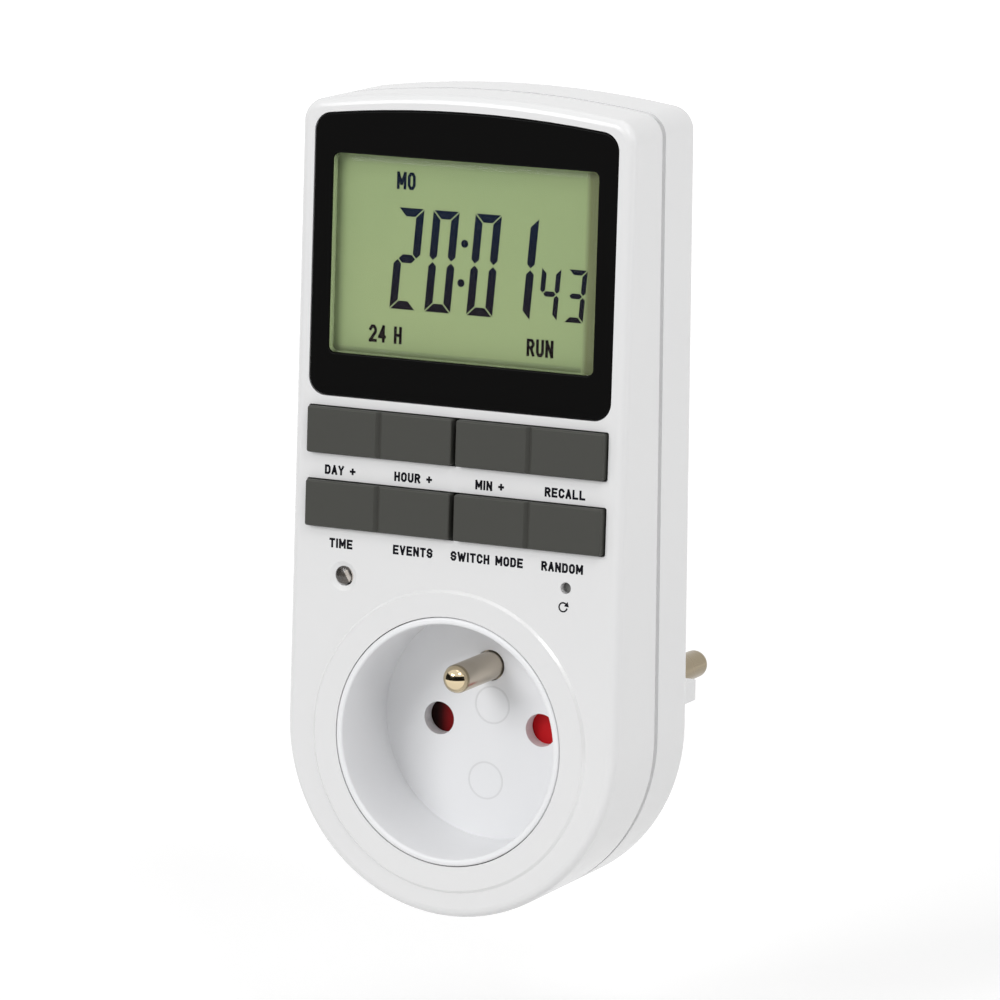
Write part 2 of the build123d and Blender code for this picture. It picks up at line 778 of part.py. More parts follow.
# Power board, parallel to the wall, on posts of the rear shell
with BuildPart() as power_board:
    with BuildSketch(upright_at(power_depth)):
        with Locations((0, (power_bottom + power_top) / 2)):
            RectangleRounded(2 * power_half_width, power_top - power_bottom, board_corner_radius)
        with Locations(*power_posts):
            Circle(power_screw_radius + side_gap, mode=Mode.SUBTRACT)
    extrude(amount=-power_thickness)
keep(power_board, "power_board")

with BuildPart() as power_board_screws:
    with BuildSketch(upright_at(power_depth)):
        with Locations(*power_posts):
            Circle(power_screw_head_radius)
    extrude(amount=power_screw_head_height)
    with BuildSketch(upright_at(power_depth)):
        with Locations(*power_posts):
            Circle(power_screw_radius - press_gap)
    extrude(amount=-power_screw_length)
keep(power_board_screws, "power_board_screws")

with BuildPart() as relay:
    with BuildSketch(upright_at(power_depth)):
        with Locations(relay_place):
            Rectangle(relay_size[0], relay_size[1])
    extrude(amount=relay_size[2])
    fillet(relay.edges().filter_by(Axis.Y), relay_edge_radius)
keep(relay, "relay")

with BuildPart() as film_capacitor:
    with BuildSketch(upright_at(power_depth)):
        with Locations(film_place):
            Rectangle(film_size[0], film_size[1])
    extrude(amount=film_size[2])
    fillet(film_capacitor.edges().filter_by(Axis.Y), film_edge_radius)
keep(film_capacitor, "film_capacitor")

with BuildPart() as smoothing_capacitor:
    with BuildSketch(Plane.YZ.offset(smoothing_place[0])):
        with Locations((power_depth - smoothing_radius - total_depth, smoothing_place[1])):
            Circle(smoothing_radius)
    extrude(amount=smoothing_length / 2, both=True)
    fillet(smoothing_capacitor.edges().filter_by(GeomType.CIRCLE), smoothing_bead_radius)
keep(smoothing_capacitor, "smoothing_capacitor")

with BuildPart() as surge_varistor:
    with BuildSketch(upright_at(power_depth)):
        with Locations(varistor_place):
            Circle(varistor_radius)
    extrude(amount=varistor_thickness)
    fillet(surge_varistor.edges().filter_by(GeomType.CIRCLE), varistor_edge_radius)
keep(surge_varistor, "surge_varistor")

with BuildPart() as fuse_resistor:
    with BuildSketch(Plane.YZ.offset(fuse_place[0])):
        with Locations((power_depth - fuse_radius - total_depth, fuse_place[1])):
            Circle(fuse_radius)
    extrude(amount=fuse_length / 2, both=True)
    fillet(fuse_resistor.edges().filter_by(GeomType.CIRCLE), fuse_end_radius)
keep(fuse_resistor, "fuse_resistor")

with BuildPart() as rectifier_diodes:
    with BuildSketch(Plane.XY.offset(diode_place[1] - diode_length / 2)):
        with Locations((diode_place[0], power_depth - diode_radius - total_depth)):
            with GridLocations(diode_pitch, 0, 4, 1):
                Circle(diode_radius)
    extrude(amount=diode_length)
keep(rectifier_diodes, "rectifier_diodes")

# Pin header between the two boards
with BuildPart() as board_header:
    header_reach = power_depth - face_depth(header_place[1]) - board_back / cos(lean) - header_gap
    with BuildSketch(upright_at(power_depth)):
        with Locations(header_place):
            Rectangle(header_size[0], header_size[1])
    extrude(amount=header_reach)
keep(board_header, "board_header")

# Socket well: round recess with its lip, base holes and the flange that seats behind the face
with BuildPart() as socket_well:
    with BuildSketch(upright_at(base_back)):
        Circle(lip_radius)
    extrude(amount=base_back + face_depth(lip_radius) + lip_proud + overrun)
    split(bisect_by=face.offset(lip_proud), keep=Keep.BOTTOM)
    with BuildSketch(upright_at(recess_depth)):
        Circle(recess_radius)
    extrude(amount=total_depth, mode=Mode.SUBTRACT)
    fillet(socket_well.faces().sort_by(outward)[-1].edges(), lip_edge_radius)
    with BuildSketch(upright_at(well_flange_depth + well_flange_thickness)):
        Circle(lip_radius + well_flange_reach)
        Circle(lip_radius - well_wall / 2, mode=Mode.SUBTRACT)
    extrude(amount=well_flange_thickness)
    with BuildSketch(upright_at(base_back)):
        with Locations((-pin_spacing / 2, 0), (pin_spacing / 2, 0)):
            Circle(socket_hole_radius)
        with Locations((0, earth_offset)):
            Circle(earth_shank_radius + press_gap)
    extrude(amount=base_thickness + overrun, mode=Mode.SUBTRACT)
keep(socket_well, "socket_well")

# Safety shutter: a bar that turns about the socket's axis and covers both holes
with BuildPart() as shutter:
    with BuildSketch(upright_at(shutter_front)):
        RectangleRounded(2 * shutter_half_length, shutter_width, shutter_width / 3)
        Circle(shutter_hub_radius)
        Circle(shutter_pivot_radius + shutter_pivot_gap, mode=Mode.SUBTRACT)
    extrude(amount=-shutter_thickness)
keep(shutter, "shutter")

# Retainer behind the shutter: rim, plate, pivot and the holes for the contacts
with BuildPart() as shutter_retainer:
    with BuildSketch(upright_at(plate_back)):
        Circle(retainer_radius)
    extrude(amount=plate_back - base_back)
    with BuildSketch(upright_at(plate_front)):
        Circle(retainer_radius - retainer_rim)
    extrude(amount=plate_front - base_back, mode=Mode.SUBTRACT)
    with BuildSketch(upright_at(plate_back)):
        Circle(shutter_pivot_radius)
    extrude(amount=plate_back - base_back - seat_gap)
    with BuildSketch(upright_at(plate_back)):
        with Locations((-pin_spacing / 2, 0), (pin_spacing / 2, 0)):
            Circle(contact_radius + press_gap)
        with Locations((0, earth_offset)):
            Circle(earth_shank_radius + press_gap)
    extrude(amount=plate_back - plate_front + overrun, mode=Mode.SUBTRACT)
    # slot for the spring's foot
    with BuildSketch(upright_at(base_back)):
        with BuildLine():
            Line(spring_foot, spring_tip)
        trace(line_width=spring_thickness + 2 * press_gap)
    extrude(amount=-(plate_front - base_back), mode=Mode.SUBTRACT)
keep(shutter_retainer, "shutter_retainer")

# Leaf spring that swings the shutter closed
with BuildPart() as shutter_spring:
    with BuildSketch(upright_at(shutter_front + (shutter_thickness - spring_width) / 2)):
        with BuildLine():
            Line(spring_foot, spring_tip)
        trace(line_width=spring_thickness)
    extrude(amount=-spring_width)
keep(shutter_spring, "shutter_spring")

# Earth pin of the socket, with its flange behind the base
with BuildPart() as earth_pin:
    tip = recess_depth - earth_length - total_depth
    with BuildSketch(Plane.YZ):
        with BuildLine():
            Polyline(
                (tip, earth_offset),
                (recess_depth - total_depth, earth_offset),
                (recess_depth - total_depth, earth_offset + pin_radius),
                (tip + earth_dome_height, earth_offset + pin_radius),
                (tip + earth_dome_height, earth_offset + earth_dome_radius),
            )
            RadiusArc(
                (tip + earth_dome_height, earth_offset + earth_dome_radius),
                (tip, earth_offset),
                -(earth_dome_radius**2 + earth_dome_height**2) / (2 * earth_dome_height),
            )
        make_face()
    revolve(axis=Axis((0, 0, earth_offset), (0, 1, 0)))
    with BuildSketch(upright_at(recess_depth)):
        with Locations((0, earth_offset)):
            Circle(earth_shank_radius)
    extrude(amount=-earth_shank_length)
    with BuildSketch(upright_at(base_back)):
        with Locations((0, earth_offset)):
            Circle(earth_flange_radius)
    extrude(amount=-earth_flange_thickness)
keep(earth_pin, "earth_pin")

# Earth sleeve of the plug, from the earth pin's root to the tower's end wall
with BuildPart() as earth_contact:
    with BuildSketch(upright_at(recess_depth + earth_shank_length)):
        with Locations((0, earth_offset)):
            Circle(earth_sleeve_radius)
    extrude(amount=-(tower_end_inner - recess_depth - earth_shank_length))
    with BuildSketch(upright_at(tower_end_inner)):
        with Locations((0, earth_offset)):
            Circle(earth_bore_radius)
    extrude(amount=earth_bore_length, mode=Mode.SUBTRACT)
keep(earth_contact, "earth_contact")


def contact(side, length):
    """A spring sleeve behind one socket hole, with its flange and the strap up to the power board."""
    x = side * pin_spacing / 2
    with BuildPart() as sleeve:
        with BuildSketch(upright_at(plate_front + seat_gap)) as ring:
            with Locations((x, 0)):
                Circle(contact_radius)
        extrude(ring.sketch, amount=-length)
        with BuildSketch(upright_at(plate_back)) as flange:
            with Locations((x, 0)):
                Circle(contact_flange_radius)
                Rectangle(strap_width, strap_reach, align=(Align.CENTER, Align.MIN))
        extrude(flange.sketch, amount=-strap_thickness)
        with BuildSketch(upright_at(plate_front)) as bore:
            with Locations((x, 0)):
                Circle(contact_bore_radius)
        extrude(bore.sketch, amount=-(length + overrun), mode=Mode.SUBTRACT)
    return sleeve


live_contact = contact(-1, live_contact_length)
keep(live_contact, "live_contact")
neutral_contact = contact(1, pin_root_depth - plate_front - seat_gap)
keep(neutral_contact, "neutral_contact")


def plug_pin(side):
    """A round plug pin, pressed through the tower's end wall against its collar."""
    x = side * pin_spacing / 2
    with BuildPart() as pin:
        with BuildSketch(upright_at(pin_root_depth)) as root:
            with Locations((x, 0)):
                Circle(pin_root_radius)
        extrude(root.sketch, amount=-(total_depth - pin_root_depth))
        with BuildSketch(upright_at(tower_end_inner)) as collar:
            with Locations((x, 0)):
                Circle(pin_collar_radius)
        extrude(collar.sketch, amount=pin_collar_length)
        with BuildSketch(upright_at(total_depth)) as prong:
            with Locations((x, 0)):
                Circle(pin_radius)
        extrude(prong.sketch, amount=-pin_length)
        fillet(pin.faces().sort_by(Axis.Y)[-1].edges(), pin_tip_radius)
    return pin


live_pin = plug_pin(-1)
keep(live_pin, "live_pin")
neutral_pin = plug_pin(1)
keep(neutral_pin, "neutral_pin")

# Strap from the live pin's root, over the live contact and up behind the power board
with BuildPart() as live_strap:
    strap_back = pin_root_depth - strap_thickness / 2 - total_depth
    strap_front = live_strap_end - total_depth
    with BuildSketch(Plane.YZ.offset(-pin_spacing / 2)):
        with BuildLine():
            Polyline(
                (strap_back, -strap_width / 2),
                (strap_back, live_strap_step),
                (strap_front, live_strap_step),
                (strap_front, strap_reach),
            )
        trace(line_width=strap_thickness)
    extrude(amount=strap_width / 2, both=True)
keep(live_strap, "live_strap")

# Screws that hold the two shells together, sunk into the back
with BuildPart() as housing_screws:
    head_seat = body_depth - screw_sink_depth
    with BuildSketch(upright_at(head_seat)):
        with Locations(*screw_places):
            Circle(screw_head_radius)
    extrude(amount=-screw_head_height)
    with BuildSketch(upright_at(head_seat)):
        with Locations(*screw_places):
            Circle(screw_radius - press_gap)
    extrude(amount=head_seat - front_depth + screw_thread_length - seat_gap)
keep(housing_screws, "housing_screws")
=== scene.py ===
"""Visual model of a plug-in digital timer switch, laid out as an add-on."""

import json
import math

import bmesh
import bpy
from mathutils import Matrix, Vector


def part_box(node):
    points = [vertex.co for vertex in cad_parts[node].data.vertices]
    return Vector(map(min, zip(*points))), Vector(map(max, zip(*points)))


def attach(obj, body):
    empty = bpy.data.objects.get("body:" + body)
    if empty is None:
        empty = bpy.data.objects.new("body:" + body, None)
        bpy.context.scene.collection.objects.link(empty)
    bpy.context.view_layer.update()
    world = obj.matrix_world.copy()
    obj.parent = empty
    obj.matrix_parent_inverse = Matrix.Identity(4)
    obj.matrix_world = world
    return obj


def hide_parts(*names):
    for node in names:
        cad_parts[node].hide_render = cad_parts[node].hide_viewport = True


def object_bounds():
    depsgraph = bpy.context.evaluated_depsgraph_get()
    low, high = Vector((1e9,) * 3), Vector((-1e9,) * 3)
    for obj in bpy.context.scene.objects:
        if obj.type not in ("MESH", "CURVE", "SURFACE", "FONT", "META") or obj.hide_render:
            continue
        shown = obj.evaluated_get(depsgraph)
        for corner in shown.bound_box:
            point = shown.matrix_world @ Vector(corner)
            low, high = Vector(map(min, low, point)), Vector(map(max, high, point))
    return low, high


bl_info = {
    "name": "Plug-in timer switch",
    "version": (1, 0, 0),
    "blender": (4, 5, 0),
    "location": "3D View > Sidebar > Timer switch",
    "description": "Dresses a plug-in timer switch with finishes, display, legends and screws",
    "category": "Object",
}

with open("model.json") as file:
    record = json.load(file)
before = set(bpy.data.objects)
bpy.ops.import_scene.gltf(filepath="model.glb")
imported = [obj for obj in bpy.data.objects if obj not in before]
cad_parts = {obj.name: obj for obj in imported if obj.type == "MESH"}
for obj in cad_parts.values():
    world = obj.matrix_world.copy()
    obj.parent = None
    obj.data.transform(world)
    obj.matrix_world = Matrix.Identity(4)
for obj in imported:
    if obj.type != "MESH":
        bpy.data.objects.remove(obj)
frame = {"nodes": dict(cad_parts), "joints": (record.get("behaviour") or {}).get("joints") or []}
NODES = frame["nodes"]
CAD_LOW, CAD_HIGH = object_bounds()
MM = 0.001

# The leaning face and the recess base, read from the frame
HINGE = next(joint for joint in frame["joints"] if joint["name"] == "upper_left_rocker_hinge")
FACE_UP = Vector(HINGE["axis"]).normalized()
FACE_OUT = Vector((1, 0, 0)).cross(FACE_UP)
EARTH_SUNK, EARTH_LENGTH = 1.0 * MM, 14.0 * MM
FACE_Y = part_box("earth_pin")[0].y - EARTH_SUNK
WELL_BASE_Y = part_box("earth_pin")[0].y + EARTH_LENGTH
FLOOR_Z = CAD_LOW.z - 30.0 * MM

# Facets that meet at less than this are shaded as one round surface
ROUND = math.radians(30)

# Places in millimetres, across and up
MARK_SPOTS = ((0.45, 3.3), (-0.7, -9.7))
DOT_SPOTS = ((-0.76, 81.9), (-1.24, 75.44))
RESET_MARK_SPOT = (20.3, 24.48)
LAMP_SPOT = (-20.33, 25.7)
HOUSING_SCREW_SPOTS = ((-24.6, 99.9), (24.6, 99.9), (-25.4, 18.0), (25.4, 18.0))
CONTROL_SCREW_SPOTS = ((-25.6, 30.5), (-25.6, 57.2), (25.6, 30.5), (25.6, 57.2))
POWER_SCREW_SPOTS = ((-20.5, 69.5), (20.5, 69.5), (0, 32.5))

# Figures and words, with the places of their middles in millimetres
BIG_FIGURES = (("2", -11.3), ("0", -4.85), ("0", 2.87), ("1", 9.65))
SMALL_FIGURES = (("4", 14.9), ("3", 19.65))
DISPLAY_WORDS = (("MO", -11.8, 91.4), ("24 H", -14.9, 65.95), ("RUN", 13.5, 65.95))
LEGENDS = (
    ("DAY +", -21.4, 43.03),
    ("HOUR +", -7.8, 43.03),
    ("MIN +", 6.3, 43.03),
    ("RECALL", 20.0, 43.03),
    ("TIME", -20.9, 30.9),
    ("EVENTS", -7.5, 30.9),
    ("SWITCH MODE", 6.15, 30.9),
    ("RANDOM", 19.9, 30.9),
)

# Which bars of a seven-bar figure each number lights
BARS = {"0": "abcdef", "1": "bc", "2": "abged", "3": "abgcd", "4": "fgbc"}

# Letters as strokes, in shares of their width and height; a stroke that ends where it began is a ring
CUT_X, CUT_Y = 0.3, 0.2
BOWL = [(0, 1), (1 - CUT_X, 1), (1, 1 - CUT_Y), (1, 0.5 + CUT_Y), (1 - CUT_X, 0.5), (0, 0.5)]
OPEN_RING = [(1, 1 - CUT_Y), (1 - CUT_X, 1), (CUT_X, 1), (0, 1 - CUT_Y), (0, CUT_Y), (CUT_X, 0),
             (1 - CUT_X, 0), (1, CUT_Y)]
STROKES = {
    "A": ([(0, 0), (0.5, 1)], [(0.5, 1), (1, 0)], [(0.2, 0.3), (0.8, 0.3)]),
    "C": (OPEN_RING,),
    "D": ([(0, 0), (0, 1), (1 - CUT_X, 1), (1, 1 - CUT_Y), (1, CUT_Y), (1 - CUT_X, 0), (0, 0)],),
    "E": ([(1, 1), (0, 1), (0, 0), (1, 0)], [(0, 0.5), (0.85, 0.5)]),
    "H": ([(0, 0), (0, 1)], [(1, 0), (1, 1)], [(0, 0.5), (1, 0.5)]),
    "I": ([(0.5, 0), (0.5, 1)],),
    "L": ([(0, 1), (0, 0), (1, 0)],),
    "M": ([(0, 0), (0, 1)], [(0, 1), (0.5, 0.3)], [(0.5, 0.3), (1, 1)], [(1, 0), (1, 1)]),
    "N": ([(0, 0), (0, 1)], [(0, 1), (1, 0)], [(1, 0), (1, 1)]),
    "O": (OPEN_RING + OPEN_RING[:1],),
    "R": ([(0, 0)] + BOWL, [(0.5, 0.5), (1, 0)]),
    "S": ([(1, 1 - CUT_Y), (1 - CUT_X, 1), (CUT_X, 1), (0, 1 - CUT_Y), (0, 0.5 + CUT_Y / 2), (CUT_X, 0.5),
           (1 - CUT_X, 0.5), (1, 0.5 - CUT_Y / 2), (1, CUT_Y), (1 - CUT_X, 0), (CUT_X, 0), (0, CUT_Y)],),
    "T": ([(0, 1), (1, 1)], [(0.5, 1), (0.5, 0)]),
    "U": ([(0, 1), (0, CUT_Y), (CUT_X, 0), (1 - CUT_X, 0), (1, CUT_Y), (1, 1)],),
    "V": ([(0, 1), (0.5, 0)], [(0.5, 0), (1, 1)]),
    "W": ([(0, 1), (0.25, 0)], [(0.25, 0), (0.5, 0.8)], [(0.5, 0.8), (0.75, 0)], [(0.75, 0), (1, 1)]),
    "Y": ([(0, 1), (0.5, 0.45), (1, 1)], [(0.5, 0.45), (0.5, 0)]),
    "+": ([(0, 0.5), (1, 0.5)], [(0.5, 0.2), (0.5, 0.8)]),
    "2": ([(0, 1 - CUT_Y), (CUT_X, 1), (1 - CUT_X, 1), (1, 1 - CUT_Y), (1, 0.62), (0, 0)],
          [(0, 0), (1, 0)]),
    "4": ([(0.75, 0), (0.75, 1)], [(0.75, 1), (0, 0.3)], [(0, 0.3), (1, 0.3)]),
    " ": (),
}
PITCH_SHARE = 1.5
WIDTH_SHARES = {"M": 1.3, "W": 1.7, "I": 0.0, " ": 0.5}

# Texture of each finish: roughness, spread, patch scale, grain scale, bump in mm, metallic, specular
TEXTURES = {
    "white plastic": (0.25, 0.06, 35, 3200, 0.002, 0, 0.5),
    "white well plastic": (0.42, 0.06, 50, 2600, 0.003, 0, 0.5),
    "mould mark": (0.42, 0.06, 50, 2600, 0.003, 0, 0.5),
    "pad edge plastic": (0.2, 0.04, 35, 3200, 0.001, 0, 1.0),
    "black gloss": (0.14, 0.06, 40, 900, 0.0006, 0, 0.03),
    "clear pane": (0.04, 0.03, 60, 500, 0.0003, 0, 0.08),
    "display ground": (0.45, 0.1, 28, 4500, 0.002, 0, 0.05),
    "display foot painted shade": (0.45, 0.1, 28, 4500, 0.002, 0, 0.05),
    "display painted shade strip": (0.45, 0.1, 28, 4500, 0.002, 0, 0.05),
    "lit bars": (0.5, 0.05, 80, 3000, 0.001, 0, 0.02),
    "striped rubber": (0.7, 0.1, 400, 2600, 0.006, 0, 0.5),
    "natural plastic": (0.5, 0.08, 60, 2500, 0.006, 0, 0.5),
    "key plastic": (0.5, 0.1, 45, 3600, 0.006, 0, 0.22),
    "reset pin plastic": (0.5, 0.1, 45, 3600, 0.006, 0, 0.5),
    "printed ink": (0.55, 0.1, 300, 4000, 0.002, 0, 0.1),
    "smoky lens": (0.14, 0.03, 300, 900, 0.0005, 0, 1.0),
    "lamp lead": (0.4, 0.1, 400, 3000, 0.006, 0, 0.3),
    "lamp cup painted shade": (0.5, 0.1, 400, 3000, 0.006, 0, 0.2),
    "shutter plastic painted light and shade": (0.45, 0.08, 80, 2500, 0.006, 0, 0.12),
    "retainer plastic": (0.5, 0.08, 60, 2500, 0.006, 0, 0.5),
    "contact brass": (0.3, 0.12, 120, 1800, 0.006, 1, 0.5),
    "spring steel": (0.3, 0.1, 200, 2500, 0.006, 1, 0.5),
    "earth pin nickel": (0.24, 0.1, 90, 2400, 0.004, 1, 0.5),
    "earth pin tip": (0.09, 0.05, 90, 2400, 0.002, 1, 0.5),
    "plug pin nickel": (0.27, 0.12, 70, 2200, 0.004, 1, 0.5),
    "screw steel": (0.32, 0.14, 180, 2600, 0.006, 1, 0.5),
    "green board": (0.35, 0.1, 150, 2200, 0.006, 0, 0.5),
    "brown board": (0.5, 0.1, 150, 2200, 0.006, 0, 0.5),
    "black component": (0.5, 0.1, 150, 2200, 0.006, 0, 0.5),
    "yellow component": (0.42, 0.1, 150, 2200, 0.006, 0, 0.5),
    "blue component": (0.42, 0.1, 150, 2200, 0.006, 0, 0.5),
    "component steel": (0.28, 0.1, 150, 2200, 0.006, 1, 0.5),
    "card cloth": (0.9, 0.08, 60, 2500, 0.006, 0, 0.0),
}
TINT_SHARE = 0.93
DRAWN_GRAIN = (0.15, 1.0, 0.15)

# Studio lamps: name, place in metres, width in metres, power in watts
STUDIO_LAMPS = (
    ("key light", (-0.55, -1.4, 0.75), 0.7, 11.6),
    ("side light", (1.25, 0.0, 0.25), 0.9, 4.6),
    ("top light", (0.1, 0.1, 1.25), 1.0, 3.6),
    ("rim light", (0.58, -0.58, 0.87), 0.3, 1.9),
)


def length(name, description, default):
    """A size in metres that a user may change."""
    return bpy.props.FloatProperty(
        name=name, description=description, default=default, min=0.0,
        unit="LENGTH", subtype="DISTANCE", precision=5,
    )


def colour(name, description, default):
    """A surface colour that a user may change."""
    return bpy.props.FloatVectorProperty(
        name=name, description=description, default=default, size=3, min=0.0, max=1.0, subtype="COLOR",
    )


class TimerSwitchSizes(bpy.types.PropertyGroup):
    """Sizes of the display, the legends and the screws."""

    digit_height: length("Digit height", "Height of the big figures", 16.7 * MM)
    digit_width: length("Digit width", "Width of the big figures", 4.75 * MM)
    digit_stroke: length("Digit stroke", "Width of a bar of the big figures", 1.38 * MM)
    digit_bottom: length("Digit bottom", "Height of the big figures' foot on the face", 70.3 * MM)
    small_height: length("Small digit height", "Height of the small figures", 8.6 * MM)
    small_width: length("Small digit width", "Width of the small figures", 3.45 * MM)
    small_stroke: length("Small digit stroke", "Width of a bar of the small figures", 0.86 * MM)
    bar_gap: length("Bar gap", "Gap between two bars", 0.22 * MM)
    digit_slant: bpy.props.FloatProperty(
        name="Digit slant", description="Lean of the figures to the right",
        default=math.radians(4.3), unit="ROTATION", subtype="ANGLE",
    )
    dot_radius: length("Dot radius", "Radius of the two dots", 0.65 * MM)
    word_height: length("Display word height", "Cap height of the words on the display", 2.85 * MM)
    word_width: length("Display letter width", "Width of a letter on the display", 0.95 * MM)
    word_stroke: length("Display letter stroke", "Stroke of a letter on the display", 0.5 * MM)
    legend_height: length("Legend height", "Cap height of the words under the keys", 1.58 * MM)
    legend_width: length("Legend letter width", "Width of a letter under the keys", 0.7 * MM)
    legend_stroke: length("Legend stroke", "Stroke of a letter under the keys", 0.37 * MM)
    ink_thickness: length("Ink thickness", "Thickness of the printed ink", 0.015 * MM)
    mark_radius: length("Mould mark radius", "Radius of the marks on the recess base", 3.25 * MM)
    mark_line: length("Mould mark line", "Width of the marks' line", 0.3 * MM)
    mark_rise: length("Mould mark rise", "Height of the marks on the recess base", 0.05 * MM)
    thread_pitch: length("Thread pitch", "Pitch of the screws' thread", 0.9 * MM)


class TimerSwitchColours(bpy.types.PropertyGroup):
    """Colours of the finishes."""

    white: colour("White plastic", "Shells", (0.80, 0.80, 0.80))
    white_tint: colour("White tint", "Soft patches on the shells", (0.77, 0.77, 0.775))
    well: colour("Recess", "Recess of the socket", (0.86, 0.865, 0.877))
    well_tint: colour("Recess tint", "Soft patches in the recess", (0.83, 0.835, 0.85))
    black: colour("Black frame", "Frame around the display", (0.0062, 0.0061, 0.006))
    grey: colour("Grey keys", "Keys", (0.063, 0.0635, 0.0565))
    olive: colour("Display", "Display ground", (0.285, 0.382, 0.19))
    navy: colour("Figures, top", "Upper part of the lit bars", (0.006, 0.011, 0.026))
    brown: colour("Figures, foot", "Lower part of the lit bars", (0.011, 0.006, 0.006))
    ink: colour("Ink", "Words under the keys", (0.006, 0.0055, 0.010))
    red: colour("Shutter", "Safety shutter", (0.36, 0.006, 0.009))
    nickel: colour("Nickel", "Side of the earth pin", (0.55, 0.49, 0.405))
    plug_nickel: colour("Plug nickel", "Plug pins", (0.31, 0.255, 0.17))
    gold: colour("Worn nickel", "Dome of the earth pin", (0.70, 0.58, 0.385))
    brass: colour("Brass", "Contacts", (0.70, 0.50, 0.20))
    steel: colour("Steel", "Screws and springs", (0.55, 0.55, 0.56))
    smoky: colour("Lamp lens", "Lens of the lamp", (0.80, 0.76, 0.72))


# Places and shapes


def face_place(x, height, depth=0.0):
    """Matrix that puts a flat shape on the leaning face, its front to the outside."""
    spot = Vector((x, FACE_Y, 0)) + FACE_UP * height - FACE_OUT * depth
    return Matrix((
        (1, FACE_UP.x, FACE_OUT.x, spot.x),
        (0, FACE_UP.y, FACE_OUT.y, spot.y),
        (0, FACE_UP.z, FACE_OUT.z, spot.z),
        (0, 0, 0, 1),
    ))


def front_place(x, y, z):
    """Matrix that puts a flat shape upright, its front to the outside."""
    return Matrix(((1, 0, 0, x), (0, 0, -1, y), (0, 1, 0, z), (0, 0, 0, 1)))


def prism(shape, outline, place, thickness, lift=0.0):
    """Adds a flat outline to the shape as a thin plate."""
    area = sum(a[0] * b[1] - b[0] * a[1] for a, b in zip(outline, outline[1:] + outline[:1]))
    if area < 0:
        outline = outline[::-1]
    low = [shape.verts.new(place @ Vector((x, y, lift))) for x, y in outline]
    high = [shape.verts.new(place @ Vector((x, y, lift + thickness))) for x, y in outline]
    shape.faces.new(high)
    shape.faces.new(low[::-1])
    for i in range(len(outline)):
        after = (i + 1) % len(outline)
        shape.faces.new((low[i], low[after], high[after], high[i]))


def circle(radius, steps=40):
    """Outline of a round plate."""
    turns = [2 * math.pi * i / steps for i in range(steps)]
    return [(radius * math.cos(t), radius * math.sin(t)) for t in turns]


def cap(radius, top, ball, steps):
    """Profile of a round cap, from its rim to its top."""
    widest = math.asin(radius / ball)
    leans = [widest * (1 - i / steps) for i in range(steps + 1)]
    return [(ball * math.sin(lean), top - ball * (1 - math.cos(lean))) for lean in leans]


def bar_outlines(width, height, stroke, gap):
    """Outlines of the seven bars, from the lower left corner of the figure."""
    step = gap / math.sqrt(2)
    middle = height / 2
    half = stroke / 2
    top = [(step, height), (width - step, height), (width - step - stroke, height - stroke),
           (step + stroke, height - stroke)]
    right = [(width, height - step), (width, middle + half + step), (width - half, middle + step),
             (width - stroke, middle + half + step), (width - stroke, height - stroke - step)]
    bridge = [(half + step, middle), (stroke + step, middle + half), (width - stroke - step, middle + half),
              (width - half - step, middle), (width - stroke - step, middle - half),
              (stroke + step, middle - half)]
    return {
        "a": top,
        "b": right,
        "c": [(x, height - y) for x, y in right],
        "d": [(x, height - y) for x, y in top],
        "e": [(width - x, height - y) for x, y in right],
        "f": [(width - x, y) for x, y in right],
        "g": bridge,
    }


def figure(shape, number, place, form, sizes, thickness):
    """Adds one lit figure to the shape, the middle of its foot at the place."""
    width, height, stroke = form
    lean = math.tan(sizes.digit_slant)
    bars = bar_outlines(width, height, stroke, sizes.bar_gap)
    for name in BARS[number]:
        outline = [(x - width / 2 + lean * (y - height / 2), y) for x, y in bars[name]]
        prism(shape, outline, place, thickness)


def stations(points, half):
    """Pairs of points on both sides of a mitred stroke with square ends, and whether it is a ring."""
    closed = points[0] == points[-1]
    line = [Vector(p) for p in (points[:-1] if closed else points)]
    count = len(line)
    sharpest = 0.55
    pairs = []
    for i, point in enumerate(line):
        ways = []
        if closed or i > 0:
            ways.append((point - line[i - 1]).normalized())
        if closed or i < count - 1:
            ways.append((line[(i + 1) % count] - point).normalized())
        if len(ways) == 1:
            point = point + ways[0] * (half if i else -half)
        across = sum((Vector((-way.y, way.x)) for way in ways), Vector((0, 0))).normalized()
        reach = half / max(across.dot(Vector((-ways[0].y, ways[0].x))), sharpest)
        pairs.append((point + across * reach, point - across * reach))
    return pairs, closed


def stroke_path(shape, points, half, place, thickness, lift=0.0):
    """Adds a stroke along the points to the shape, as one closed strip."""
    pairs, closed = stations(points, half)
    top = lift + thickness
    sections = [
        [shape.verts.new(place @ Vector((side.x, side.y, level)))
         for side, level in ((left, lift), (right, lift), (right, top), (left, top))]
        for left, right in pairs
    ]
    for a, b in zip(sections, sections[1:] + sections[:1] if closed else sections[1:]):
        for i in range(4):
            after = (i + 1) % 4
            shape.faces.new((a[i], a[after], b[after], b[i]))
    if not closed:
        shape.faces.new(sections[0][::-1])
        shape.faces.new(sections[-1])


def add_word(shape, text, place, cap_height, letter_width, stroke, thickness):
    """Adds a word to the shape as thin ink, its middle at the place."""
    widths = [letter_width * WIDTH_SHARES.get(letter, 1.0) for letter in text]
    pitch = PITCH_SHARE * stroke
    left = -(sum(widths) + pitch * (len(text) - 1)) / 2
    foot = (stroke - cap_height) / 2
    for letter, width in zip(text, widths):
        for path in STROKES[letter]:
            points = [(left + x * width, foot + y * (cap_height - stroke)) for x, y in path]
            stroke_path(shape, points, stroke / 2, place, thickness)
        left += width + pitch


